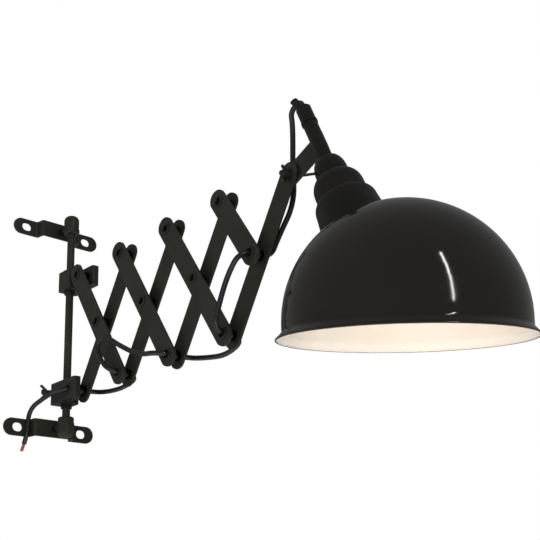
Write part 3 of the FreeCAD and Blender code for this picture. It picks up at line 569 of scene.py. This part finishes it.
def shadeSkin(radius, s):
    # From the hole round the neck to the equator: directions d from the ball's centre are turned evenly, and
    # point = centre + R(a) d, where R has a slight wave with the angle a from the shade's axis. Then the
    # straight band follows: point = centre + R e - h axis.
    angle = np.linspace(0, 2 * np.pi, s["columns"], endpoint=False)[None, :]
    axis = shadeAxisLocal
    sideX = turnAbout("Y", lamp["shadeTilt"]) @ np.array([1.0, 0, 0])
    centre = axis * s["band"]
    hx, hy = s["hole"] * np.cos(angle) - centre[0], s["hole"] * np.sin(angle) - centre[1]
    first = np.stack([hx, hy, np.sqrt(radius ** 2 - hx ** 2 - hy ** 2)], -1) / radius
    equator = np.cos(angle)[..., None] * sideX + np.sin(angle)[..., None] * np.array([0, 1.0, 0])
    share = np.linspace(0, 1, s["rows"])[:, None, None]
    between = np.arccos(np.clip((first * equator).sum(-1, keepdims=True), -1, 1))
    direction = (np.sin((1 - share) * between) * first + np.sin(share * between) * equator) / np.sin(between)
    polar = np.arccos(np.clip(direction @ axis, -1, 1))[..., None]
    wave = s["waveDepth"] * sum(size * np.sin(polar * count + phase) for count, size, phase in s["waves"])
    dome = centre + (radius + wave * np.sin(polar) ** 2) * direction
    low = np.linspace(0, s["band"] - s["lipHeight"], 6)[1:, None, None]
    band = centre + radius * equator - low * axis
    return dome, band, equator, axis


def shadeSurface(s):
    outDome, outBand, equator, axis = shadeSkin(s["radius"], s)
    inDome, inBand, _, _ = shadeSkin(s["radius"] - s["wall"], s)
    t = np.linspace(0, 1, 9)[1:, None, None]
    flare = s["lipRadius"] - s["radius"]
    # the lip: radius grows smoothly with the way down, r = R + flare t^2 (3 - 2t) / 2 + flare t / 2
    swell = flare * (0.5 * t * t * (3 - 2 * t) + 0.5 * t)
    outLip = (s["radius"] + swell) * equator + (s["lipHeight"] * (1 - t)) * axis
    inLip = (s["radius"] - s["wall"] + swell) * equator + (s["lipHeight"] * (1 - t)) * axis
    # the rolled bead: a circle's arc from the outer lip round below to the inner lip
    a = np.radians(np.linspace(60, -240, 14))[:, None, None]
    beadCentre = s["lipRadius"] - s["wall"] * 0.5
    bead = (beadCentre + s["bead"] * np.cos(a)) * equator + (s["bead"] * np.sin(a)) * axis
    outerRows = np.concatenate([outDome, outBand, outLip[:-1]])
    innerRows = np.concatenate([inLip[:-1][::-1], inBand[::-1], inDome[::-1]])
    rows = np.concatenate([outerRows, bead, innerRows])
    points = placed(rows.reshape(-1, 3), headFrame, rimCentre)
    faces = gridFaces(len(rows), s["columns"], closeRows=True)
    rowOf = faces[:, 0] // s["columns"]
    inside = (rowOf >= len(outerRows) + len(bead) - s["whiteBeadRows"]).astype(int)
    return points, faces, inside


points, faces, inside = shadeSurface(shadeSettings)
hardPiece("spun_shade", [(points, faces, inside)], "shade", "shade", blackEnamel, whiteEnamel)
print("shade made:", len(faces), "faces")

# Neck.
neckSettings = {
    "top": 222 * mm, "topRadius": 9.6 * mm, "radiusOne": 17 * mm, "roundOne": 17 * mm, "straightOne": 9.5 * mm,
    "radiusTwo": 26 * mm, "roundTwo": 14.5 * mm, "straightTwo": 14.5 * mm,
    "radiusThree": 32 * mm, "roundThree": 8.5 * mm, "crease": 2 * mm, "creaseDepth": 0.8 * mm,
    "coneGap": 0.3 * mm, "foot": 98 * mm, "footRadius": 38 * mm, "sunk": 0.15 * mm, "wall": 1.2 * mm,
    "bore": 8.08 * mm, "collar": 13.5 * mm, "collarHeight": 17 * mm, "columns": 144,
}
creaseOne = neckSettings["top"] - neckSettings["roundOne"] - neckSettings["straightOne"]
creaseTwo = creaseOne - neckSettings["roundTwo"] - neckSettings["straightTwo"]
coneTop = creaseTwo - neckSettings["roundThree"]


def roundedStep(radius, reach, height, rise):
    # A quarter ellipse: r = radius - reach (1 - cos t), h = height + rise sin t, stopped short of level.
    t = np.radians(np.linspace(0, 84, 15))
    return np.stack([radius - reach * (1 - np.cos(t)), height + rise * np.sin(t)], -1)


def crease(radius, height, s):
    # The groove below a straight wall: r = radius - depth cos(u pi / 2)^2, with u from 0 to 1 up the groove.
    u = np.linspace(0, 1, 9)
    return np.stack([radius - s["creaseDepth"] * np.cos(u * np.pi / 2) ** 2, height + u * s["crease"]], -1)


def neckProfile(s, shrink):
    # Radius against height, from the cone up: three rounded steps with a soft crease between each two.
    profile = np.concatenate([
        roundedStep(s["radiusThree"], s["radiusThree"] - s["radiusTwo"], coneTop, s["roundThree"]),
        crease(s["radiusTwo"], creaseTwo, s),
        roundedStep(s["radiusTwo"], s["radiusTwo"] - s["radiusOne"], creaseTwo + s["straightTwo"],
                    s["roundTwo"]),
        crease(s["radiusOne"], creaseOne, s),
        roundedStep(s["radiusOne"], s["radiusOne"] - s["topRadius"], s["top"] - s["roundOne"], s["roundOne"]),
        [(s["topRadius"], s["top"])]])
    profile[:, 0] -= shrink
    return profile


def neckSurface(s, shade_):
    # A surface of revolution about the neck's axis whose cone runs down until it meets the ball of the dome:
    # the foot's height solves |p(h, a) - centre| = R for every angle a, by halving.
    angle = np.linspace(0, 2 * np.pi, s["columns"], endpoint=False)
    centre = shadeAxisLocal * shade_["band"]

    def turned(r, h):
        return np.stack([r * np.cos(angle), r * np.sin(angle), h + 0 * angle], -1)

    def cone(shrink, ball):
        top = (s["radiusThree"] - shrink, coneTop - s["coneGap"])
        slope = (s["footRadius"] - shrink - top[0]) / (top[1] - s["foot"])
        lo, hi = np.full(s["columns"], s["foot"]), np.full(s["columns"], top[1])
        for _ in range(40):
            h = (lo + hi) / 2
            p = turned(top[0] + slope * (top[1] - h), h)
            outside = np.linalg.norm(p - centre, axis=1) > ball
            hi = np.where(outside, h, hi)
            lo = np.where(outside, lo, h)
        t = np.linspace(0, 1, 28)[:, None] ** 0.8
        h = lo + (top[1] - lo) * t
        r = top[0] + slope * (top[1] - h)
        return np.stack([r * np.cos(angle), r * np.sin(angle), h], -1)

    outer = neckProfile(s, 0)
    inner = neckProfile(s, s["wall"])
    inner = inner[inner[:, 1] < s["top"] - s["collarHeight"]]
    under = s["top"] - s["collarHeight"]
    closing = [(s["bore"], s["top"] - 0.2 * mm), (s["bore"], under), (s["collar"], under)]
    rows = [cone(0, shade_["radius"] - s["sunk"])]
    rows += [np.stack([turned(r, h) for r, h in np.concatenate([outer, closing])])]
    rows += [np.stack([turned(r, h) for r, h in inner[::-1]])]
    rows += [cone(s["wall"], shade_["radius"] - s["sunk"])[::-1]]
    rows = np.concatenate(rows)
    faces = gridFaces(len(rows), s["columns"], closeRows=True)
    return placed(rows.reshape(-1, 3), headFrame, rimCentre), faces


hardPiece("stepped_neck", [neckSurface(neckSettings, shadeSettings)], "neck", "neck", stoveEnamel)
print("neck made")


# Hollow rivets and spacer sleeves.
rivetSettings = {"radius": 5.25 * mm, "bore": 4.25 * mm, "flange": 7.5 * mm, "thickness": 1.3 * mm,
                 "columns": 56}
sleeveSettings = {"radius": 6.5 * mm, "bore": 5.3 * mm, "rounding": 0.35 * mm, "columns": 56}


def pivotAt(row, k):
    # Place of a pivot seen from the front: the top, middle or foot row, bay k.
    if row == "top":
        return lamp["pivotX"] + k * bay, highZ
    if row == "middle":
        return lamp["pivotX"] + (k + 0.5) * bay, midZ
    return lamp["pivotX"] + k * bay, lamp["lowZ"]


def rivetAt(x, z, front, back, s):
    # A rolled tube rivet turned about Y: each flange curls over and dips to the bore. Half of its section is
    # (radius, rounding, way out as a share of the flange's thickness), and the other half is its mirror image.
    t, f = s["thickness"], s["flange"]
    half = [(s["radius"], 0.1 * mm, 0), (f, 0.12 * mm, 0), (f, 0.3 * mm, 0.75), (f - 0.9 * mm, 0.35 * mm, 1.0),
            (s["bore"] + 0.5 * mm, 0.3 * mm, 0.92), (s["bore"], 0.3 * mm, 0.3)]
    corners = [(r, front - t * out) for r, _, out in half] + [(r, back + t * out) for r, _, out in half[::-1]]
    radii = [cut for _, cut, _ in half + half[::-1]]
    return lathe(roundedLoop(corners, radii, 3), alongY, (x, 0, z), s["columns"])


def sleeveAt(x, z, s):
    section = ringSection(s["bore"], s["radius"], lamp["frontBack"], lamp["backFront"] - lamp["faceGap"])
    return lathe(roundedLoop(section, s["rounding"], 3), alongY, (x, 0, z), s["columns"])


for k in range(lamp["bays"]):
    last = k == lamp["bays"] - 1
    spots = [pivotAt("top", k), pivotAt("middle", k)] + ([] if last else [pivotAt("foot", k + 1)])
    rivets, sleeves = [], []
    for n, (x, z) in enumerate(spots):
        rear = lamp["lugOuter"] if k == 0 and n == 0 else lamp["backFace"]
        rivets.append(rivetAt(x, z, lamp["frontFace"], rear + lamp["faceGap"], rivetSettings))
        sleeves.append(sleeveAt(x, z, sleeveSettings))
    node = "front_bar_%d" % (k + 1)
    hardPiece(node + "_rolled_rivets", rivets, node + "_rivets", "rivet", blackOxide)
    hardPiece(node + "_turned_sleeves", sleeves, node + "_sleeves", "sleeve", blackChrome)
x, z = pivotAt("foot", 0)
baseRivet = rivetAt(x, z, -lamp["lugOuter"], lamp["backFace"] + lamp["faceGap"], rivetSettings)
hardPiece("base_rolled_rivet", [baseRivet], "base_rivet", "rivet", blackOxide)
hardPiece("base_turned_sleeve", [sleeveAt(x, z, sleeveSettings)], "base_sleeve", "sleeve", blackChrome)
print("rivets and sleeves made")


# Softened copies of the hard-edged CAD pieces.
softenSettings = {"merge": 0.002 * mm, "flatAngle": 0.8, "sharpAngle": 32, "segments": 2}


def softened(node, edge, material, s):
    # A merged copy of the CAD piece with its edges broken by a small bevel, as tumbling and paint leave them.
    me = frame["nodes"][node].data.copy()
    bm = bmesh.new()
    bm.from_mesh(me)
    bmesh.ops.remove_doubles(bm, verts=bm.verts, dist=s["merge"])
    bmesh.ops.dissolve_limit(bm, angle_limit=math.radians(s["flatAngle"]), verts=bm.verts, edges=bm.edges)
    for face in bm.faces:
        face.smooth = True
    bm.to_mesh(me)
    bm.free()
    me.materials.clear()
    me.materials.append(material)
    obj = bpy.data.objects.new(node + "_softened", me)
    bpy.context.scene.collection.objects.link(obj)
    bevel = obj.modifiers.new("edges", "BEVEL")
    bevel.width = edge
    bevel.segments = s["segments"]
    bevel.limit_method = "ANGLE"
    bevel.angle_limit = math.radians(s["sharpAngle"])
    bevel.use_clamp_overlap = True
    bevel.harden_normals = True
    weight = obj.modifiers.new("shading", "WEIGHTED_NORMAL")
    weight.keep_sharp = True
    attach(obj, bodyOf[node])
    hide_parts(node)


softEdges = {
    "strap_lower": (0.45 * mm, powderCoat, "bracket"), "strap_upper": (0.45 * mm, powderCoat, "bracket"),
    "lower_block": (0.8 * mm, castCoat, "block"), "upper_block": (0.8 * mm, castCoat, "block"),
    "link_bar": (0.35 * mm, powderCoat, "bar"), "pipe_cap": (0.35 * mm, stoveEnamel, "pipe"),
    "cord_tongue": (0.25 * mm, stoveEnamel, "pipe"), "retaining_nut": (0.4 * mm, blackOxide, "pipe"),
    "lower_bush": (0.3 * mm, blackOxide, "bush"), "upper_bush": (0.3 * mm, blackOxide, "bush"),
}
for k in range(1, lamp["bays"] + 1):
    softEdges["front_bar_%d" % k] = (0.35 * mm, powderCoat, "bar")
    softEdges["back_bar_%d" % k] = (0.35 * mm, powderCoat, "bar")
for node, (edge, material, slotName) in softEdges.items():
    softened(node, edge, material, softenSettings)
print("softened pieces made")


# Rod, bosses and pipe.
rodRounding = [0, 0.3 * mm, 0.3 * mm, 0]
rodSection = ringSection(0.0, lamp["rodRadius"], lamp["rodLow"], lamp["rodHigh"])
drawnRod = lathe(roundedLoop(rodSection, rodRounding), np.eye(3), (lamp["rodX"], 0, 0))
hardPiece("drawn_rod", [drawnRod], "rod", "rod", powderCoat)

bossSettings = {
    "radius": 10 * mm, "height": 26 * mm, "dome": 7 * mm,
    "lower": -16 * mm, "upper": 262 * mm, "upperBracket": 274 * mm,
    "stub": (4.5 * mm, 20 * mm, 15 * mm), "tail": (3 * mm, 5 * mm, 11.5 * mm),   # radius, length, start
    "head": (5.5 * mm, 3 * mm, 9 * mm), "headRounding": [0, 1.7 * mm, 0.1 * mm, 0],
    "weldNeck": 4.4 * mm, "weldFlare": 1.6 * mm, "weldLength": 2.2 * mm, "weldInside": 0.6 * mm,
    "weldX": 31.4 * mm,
}


def bossParts(low, domedUp, bracketZ, s):
    # The boss is turned about the rod's axis, with a quarter circle (r - d + d cos v, d sin v) at its domed
    # end. Its stub, rivet tail and rivet head are turned about X.
    r, h, d = s["radius"], s["height"], s["dome"]
    a = np.radians(np.linspace(0, 90, 14))
    if domedUp:
        dome = [(r - d + d * math.cos(v), h - d + d * math.sin(v)) for v in a]
        profile = [(0, 0), (r - 0.5 * mm, 0), (r, 0.5 * mm)] + dome + [(0, h)]
    else:
        dome = [(r - d + d * math.cos(v), d + d * math.sin(v)) for v in a - math.pi / 2]
        edge = [(r, h - 1.2 * mm), (r - 0.3 * mm, h - 0.6 * mm), (r - 1.2 * mm, h)]
        profile = [(0, 0)] + dome + edge + [(0, h)]
    body = lathe(profile, np.eye(3), (lamp["rodX"], 0, low))
    sections = []
    for key in ("stub", "tail", "head"):
        radius, length, start = s[key]
        section = ringSection(0, radius, 0, length)
        if key == "head":
            section = roundedLoop(section, s["headRounding"], 6)
        sections.append(lathe(section, alongX, (start, 0, bracketZ), 40 if key == "tail" else 56))
    # weld collar where the stub meets the boss: r grows with the square of the way along it
    t = np.linspace(0, 1, 8)
    weld = np.stack([s["weldNeck"] + s["weldFlare"] * t ** 2, t * s["weldLength"] - s["weldLength"]], -1)[::-1]
    collar = np.concatenate([weld, [(0, s["weldInside"]), (0, -s["weldLength"])]])
    return [body] + sections + [lathe(collar, alongX, (s["weldX"], 0, bracketZ), 56)]


lowerBoss = bossParts(bossSettings["lower"], False, 0.0, bossSettings)
upperBoss = bossParts(bossSettings["upper"], True, bossSettings["upperBracket"], bossSettings)
hardPiece("turned_boss_lower", lowerBoss, "boss_lower", "boss", powderCoat)
hardPiece("turned_boss_upper", upperBoss, "boss_upper", "boss", powderCoat)

# pipe and ring: inner radius, outer radius, low end, high end, rounding
pipeSettings = {"drawn_pipe": ("pipe", 6.6 * mm, 8 * mm, -34.65 * mm, 58 * mm, 0.25 * mm),
                "pressed_ring": ("cap_ring", 8.02 * mm, 8.9 * mm, 43 * mm, 47 * mm, 0.35 * mm)}
for name, (node, inner, outer, low, high, rounding) in pipeSettings.items():
    part = lathe(roundedLoop(ringSection(inner, outer, low, high), rounding), leanTurn, pipeOrigin)
    hardPiece(name, [part], node, "pipe", stoveEnamel)


# Screws.
def threadedRod(radius, low, high, pitch, depth, threadLow, threadHigh, sides=48):
    # Screw: radius = r - depth (0.5 + 0.5 cos(2 pi h / pitch - a)) within the threaded stretch and plain
    # elsewhere, with chamfered ends.
    h = np.arange(low, high + 1e-9, pitch / 8)[:, None]
    a = np.linspace(0, 2 * np.pi, sides, endpoint=False)[None, :]
    inThread = np.clip((h - threadLow) / pitch, 0, 1) * np.clip((threadHigh - h) / pitch, 0, 1)
    r = radius - inThread * depth * (0.5 + 0.5 * np.cos(2 * np.pi * h / pitch - a))
    r = np.minimum(r, radius - 0.5 * mm + np.minimum(h - low, high - h))
    r = np.maximum(r, radius * 0.4)
    points = np.stack([r * np.cos(a), r * np.sin(a), h + 0 * a], -1)
    axisLow, axisHigh = points[:1] * [0, 0, 1], points[-1:] * [0, 0, 1]
    rows = np.concatenate([axisLow, points, axisHigh])
    return rows.reshape(-1, 3), gridFaces(len(rows), sides)


def ear(span, depth, root, thickness, side, low=0.6 * mm):
    # A cast wing: its outline in the plane is a rounded leaf, and its thickness swells as a superellipse,
    # point = middle + s(v) (outline(u) - middle), y = thickness / 2 sin(v)^0.7, with s = cos(v)^0.35.
    outline = np.array([(root * 0.35, low), (root * 0.95, low * 1.1), (span * 0.40, depth * 0.45),
                        (span * 0.5, depth * 0.66), (span * 0.485, depth * 0.9), (span * 0.40, depth),
                        (root * 1.1, depth * 0.62), (root * 0.35, depth * 0.5)])
    loop = roundedLoop(outline, 0.9 * mm, 5)
    middle = loop.mean(0)
    v = np.radians(np.linspace(-90, 90, 13))[:, None]
    s = np.cos(v) ** 0.35
    y = thickness / 2 * np.sign(np.sin(v)) * np.abs(np.sin(v)) ** 0.7
    x = middle[0] + s * (loop[:, 0] - middle[0])
    z = middle[1] + s * (loop[:, 1] - middle[1])
    points = np.stack([side * x, y + 0 * x, z], -1)
    return points.reshape(-1, 3), gridFaces(len(v), len(loop))


def aimed(direction, roll):
    # Turns local Z to a direction, rolled about it first.
    swing = Vector((0, 0, 1)).rotation_difference(Vector(direction)).to_matrix()
    return np.array(swing @ Matrix.Rotation(math.radians(roll), 3, "Z"))


def moved(part, turnMatrix, origin):
    return placed(part[0], turnMatrix, origin), part[1]


def atAngle(degrees):
    return np.array([math.cos(math.radians(degrees)), math.sin(math.radians(degrees)), 0])


# clamp screw of the lower block, with two ears
clampSettings = {
    "azimuth": 50, "roll": 30, "height": 44 * mm, "earsAt": 25 * mm,
    "hub": [(0, 25 * mm), (4 * mm, 25 * mm), (3.2 * mm, 32 * mm), (0, 32 * mm)],
    "hubRounding": [0, 0.4 * mm, 1.2 * mm, 0],
    "shank": {"radius": 2.5 * mm, "low": 7.2 * mm, "high": 26 * mm, "pitch": 0.8 * mm, "depth": 0.45 * mm,
              "threadLow": 8 * mm, "threadHigh": 25 * mm},
    "ears": {"span": 19 * mm, "depth": 9 * mm, "root": 4 * mm, "thickness": 2.6 * mm},
}


def clampParts(s):
    parts = [lathe(roundedLoop(s["hub"], s["hubRounding"]), columns=48), threadedRod(**s["shank"])]
    parts += [moved(ear(**s["ears"], side=side), np.eye(3), (0, 0, s["earsAt"])) for side in (-1, 1)]
    turn = aimed(tuple(-atAngle(s["azimuth"])), s["roll"])
    return [moved(part, turn, (lamp["rodX"], 0, s["height"])) for part in parts]


hardPiece("eared_clamp_screw", clampParts(clampSettings), "clamp_screw", "hardware", blackOxide)

# knuckle: bolt with a domed head behind, two washers and a wing nut in front
knuckleSettings = {
    "nutRear": 5.45 * mm, "boltReach": 9.5 * mm, "boltHigh": 13.55 * mm, "boltThread": 4 * mm,
    "boltRadius": 3 * mm, "pitch": 1.0 * mm, "threadDepth": 0.5 * mm,
    "headRadius": 6.5 * mm, "headFlat": 2.6 * mm, "headEdge": 0.6 * mm, "headHeight": 3.6 * mm,
    "washerLows": (9.65 * mm, 5.45 * mm), "washer": (3.08 * mm, 7 * mm, 0.9 * mm), "washerRounding": 0.2 * mm,
    "nut": [(3.1 * mm, 0), (5.5 * mm, 0), (3.9 * mm, 7 * mm), (3.1 * mm, 7 * mm)],
    "nutRounding": [0.2 * mm, 0.5 * mm, 0.7 * mm, 0.2 * mm],
    "ears": {"span": 21 * mm, "depth": 8 * mm, "root": 4.5 * mm, "thickness": 2.6 * mm},
}
knucklePlace = (lastTopX, 0, highZ)


def boltParts(s):
    # The head's side is a quarter ellipse: r = flat + (R - flat) cos v, h = edge + (height - edge) sin v.
    low, high = s["nutRear"] - s["boltReach"], s["boltHigh"]
    shank = threadedRod(s["boltRadius"], low, high, s["pitch"], s["threadDepth"], low, s["boltThread"])
    v = np.radians(np.linspace(0, 90, 12))
    reach, rise = s["headRadius"] - s["headFlat"], s["headHeight"] - s["headEdge"]
    side = np.stack([s["headFlat"] + reach * np.cos(v), high + s["headEdge"] + rise * np.sin(v)], -1)
    under = high - 0.01 * mm
    profile = np.concatenate([[(0, under), (s["headRadius"], under)], side, [(0, high + s["headHeight"])]])
    return [moved(part, alongY, knucklePlace) for part in (shank, lathe(profile, columns=56))]


def washerParts(s):
    inner, outer, thick = s["washer"]
    sections = [ringSection(inner, outer, low, low + thick) for low in s["washerLows"]]
    loops = [roundedLoop(section, s["washerRounding"], 3) for section in sections]
    return [lathe(loop, alongY, knucklePlace, 56) for loop in loops]


def nutParts(s):
    parts = [lathe(roundedLoop(s["nut"], s["nutRounding"]), columns=56)]
    parts += [ear(**s["ears"], side=side) for side in (-1, 1)]
    return [moved(part, aimed((0, -1, 0), 90), (lastTopX, s["nutRear"], highZ)) for part in parts]


hardPiece("knuckle_bolt_threaded", boltParts(knuckleSettings), "knuckle_bolt", "hardware", blackOxide)
hardPiece("knuckle_washers_turned", washerParts(knuckleSettings), "knuckle_washers", "hardware", blackOxide)
hardPiece("cast_wing_nut", nutParts(knuckleSettings), "wing_nut", "hardware", blackOxide)

# long set screw of the neck
neckScrewSettings = {
    "azimuth": 248, "height": 207 * mm,
    "shank": {"radius": 1.5 * mm, "low": 8.4 * mm, "high": 31.5 * mm, "pitch": 0.5 * mm, "depth": 0.3 * mm,
              "threadLow": 8.4 * mm, "threadHigh": 24 * mm, "sides": 32},
}
screwTurn = aimed(tuple(headFrame @ atAngle(neckScrewSettings["azimuth"])), 0)
screwPlace = placed(np.array([0, 0, neckScrewSettings["height"]]), headFrame, rimCentre)
setScrew = moved(threadedRod(**neckScrewSettings["shank"]), screwTurn, screwPlace)
hardPiece("neck_set_screw", [setScrew], "neck_screw", "hardware", blackOxide)

# Lampholder.
holderSettings = {
    "low": 137 * mm, "shoulder": 179 * mm, "top": 189 * mm, "seatHigh": 167 * mm,
    "seat": 14.35 * mm, "body": 19.5 * mm, "cap": 15.5 * mm, "wireHole": 4 * mm, "contactHole": 2.5 * mm,
    "rounding": [v * mm for v in (0.7, 1.0, 0.8, 0.5, 0.8, 0.4, 0.2, 0.2, 0.4, 0.5)],
    "shell": {"radius": 13.6 * mm, "low": 140.2 * mm, "high": 163.8 * mm, "pitch": 3.6 * mm, "depth": 0.3 * mm,
              "wall": 0.6 * mm},
    "contact": (0, 4.5 * mm, 164 * mm, 166.9 * mm), "contactRounding": [0, 1.6 * mm, 0.2 * mm, 0],
    "ring": (19.6 * mm, 24.6 * mm, 171 * mm, 180 * mm), "ringRounding": 0.5 * mm,
}


def threadShell(radius, low, high, pitch, depth, wall):
    # Rolled thread: both skins wave together, radius = r + depth cos(2 pi h / pitch - a), the outer one less.
    h = np.linspace(low, high, 90)[:, None]
    a = np.linspace(0, 2 * np.pi, 96, endpoint=False)[None, :]
    fade = np.clip((h - low) / (1.5 * mm), 0, 1) * np.clip((high - h) / (1.5 * mm), 0, 1)
    wave = fade * depth * np.cos(2 * np.pi * h / pitch - a)
    outer, inner = [np.stack([r * np.cos(a), r * np.sin(a), h + 0 * a], -1)
                    for r in (radius + wall + wave * 0.4, radius + wave - depth * fade)]
    grid = np.concatenate([outer, inner[::-1]])
    return grid.reshape(-1, 3), gridFaces(len(grid), 96, closeRows=True)


def holderSection(s):
    # Half section of the porcelain body, from the mouth of the screw seat round outside to its floor.
    return [(s["seat"], s["low"]), (s["body"], s["low"]), (s["body"], s["shoulder"]),
            (s["cap"], s["shoulder"]), (s["cap"], s["top"]), (s["wireHole"], s["top"]), (s["wireHole"], s["shoulder"]),
            (s["contactHole"], s["shoulder"]), (s["contactHole"], s["seatHigh"]), (s["seat"], s["seatHigh"])]


def inHead(section, rounding, steps, columns):
    return lathe(roundedLoop(section, rounding, steps), headFrame, rimCentre, columns)


holder = inHead(holderSection(holderSettings), holderSettings["rounding"], 4, 112)
shell = moved(threadShell(**holderSettings["shell"]), headFrame, rimCentre)
contact = inHead(ringSection(*holderSettings["contact"]), holderSettings["contactRounding"], 6, 48)
holderRing = inHead(ringSection(*holderSettings["ring"]), holderSettings["ringRounding"], 3, 96)
hardPiece("porcelain_holder", [holder], "lampholder_body", "holder", porcelain)
hardPiece("rolled_thread_shell", [shell], "lampholder_shell", "contact", brass)
hardPiece("centre_contact", [contact], "lampholder_contact", "contact", brass)
hardPiece("holder_ring", [holderRing], "lampholder_ring", "pipe", stoveEnamel)
print("turned pieces and lampholder made")

# Finishes for the CAD nodes that still show.
for name, obj in frame["nodes"].items():
    obj.data.materials.clear()
    obj.data.materials.append(copper if name == "conductors" else powderCoat)

# Stage: plain pale floor, soft studio light.
stageSettings = {
    "floorZ": -0.62, "floorX": 0.3, "floorSize": 6.0, "floorColour": "#F2F1EF",
    "skyColour": "#FFFFFF", "skySeen": 1.0, "skyReflected": 0.2,
}


def stageFloor(s):
    half = s["floorSize"] / 2
    corners = [(-half, -half, 0), (half, -half, 0), (half, half, 0), (-half, half, 0)]
    points = np.array(corners) + [s["floorX"], 0, s["floorZ"]]
    material, tree, shader = newMaterial("floor_paper")
    shader.inputs["Base Color"].default_value = linear(s["floorColour"])
    shader.inputs["Roughness"].default_value = 0.9
    meshObject("floor", [(points, np.array([[0, 1, 2, 3]]))], None, materials=[material])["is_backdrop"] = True


stageFloor(stageSettings)
world = bpy.data.worlds.new("studio")
bpy.context.scene.world = world
world.use_nodes = True
sky = world.node_tree
sky.nodes.clear()
skyLinear = linear(stageSettings["skyColour"])
seen = addNode(sky, "Background", {"Color": skyLinear, "Strength": stageSettings["skySeen"]})
lit = addNode(sky, "Background", {"Color": skyLinear, "Strength": stageSettings["skyReflected"]})
ray = addNode(sky, "LightPath")
mix = addNode(sky, "MixShader", links={0: ray.outputs["Is Camera Ray"], 1: lit.outputs[0], 2: seen.outputs[0]})
addNode(sky, "OutputWorld", links={"Surface": mix.outputs[0]})


def softBox(name, place, target, size, power, colour="#FFFFFF", mirrored=False):
    # A rectangular light. One that isn't mirrored lights the lamp but doesn't show in its gloss.
    data = bpy.data.lights.new(name, "AREA")
    data.shape = "RECTANGLE"
    data.size, data.size_y = size
    data.energy = power
    data.color = linear(colour)[:3]
    light = bpy.data.objects.new(name, data)
    bpy.context.scene.collection.objects.link(light)
    light.visible_glossy = mirrored
    direction = Vector(target) - Vector(place)
    light.matrix_world = Matrix.Translation(place) @ direction.to_track_quat("-Z", "Y").to_matrix().to_4x4()


aim = (0.40, 0.0, 0.08)
softBox("key_left", (-0.8, -1.8, 0.9), aim, (0.9, 2.4), 24)
softBox("glow_left", (-0.8, -1.8, 0.9), aim, (0.9, 2.4), 5, mirrored=True)
softBox("key_right", (2.45, -0.35, 0.75), aim, (0.06, 1.5), 7, mirrored=True)
softBox("side_right", (2.3, -0.9, 0.7), aim, (0.9, 1.4), 16)
softBox("fill_front", (1.6, -2.2, -0.1), aim, (1.2, 1.2), 14)
softBox("top", (0.5, -0.2, 2.0), aim, (1.6, 1.2), 18)
softBox("below", (0.9, -0.6, -0.58), (0.55, 0, 0.0), (0.9, 0.9), 9, "#FFE8D2")
bpy.context.scene.view_settings.view_transform = "Standard"
print("stage made")

low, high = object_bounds()
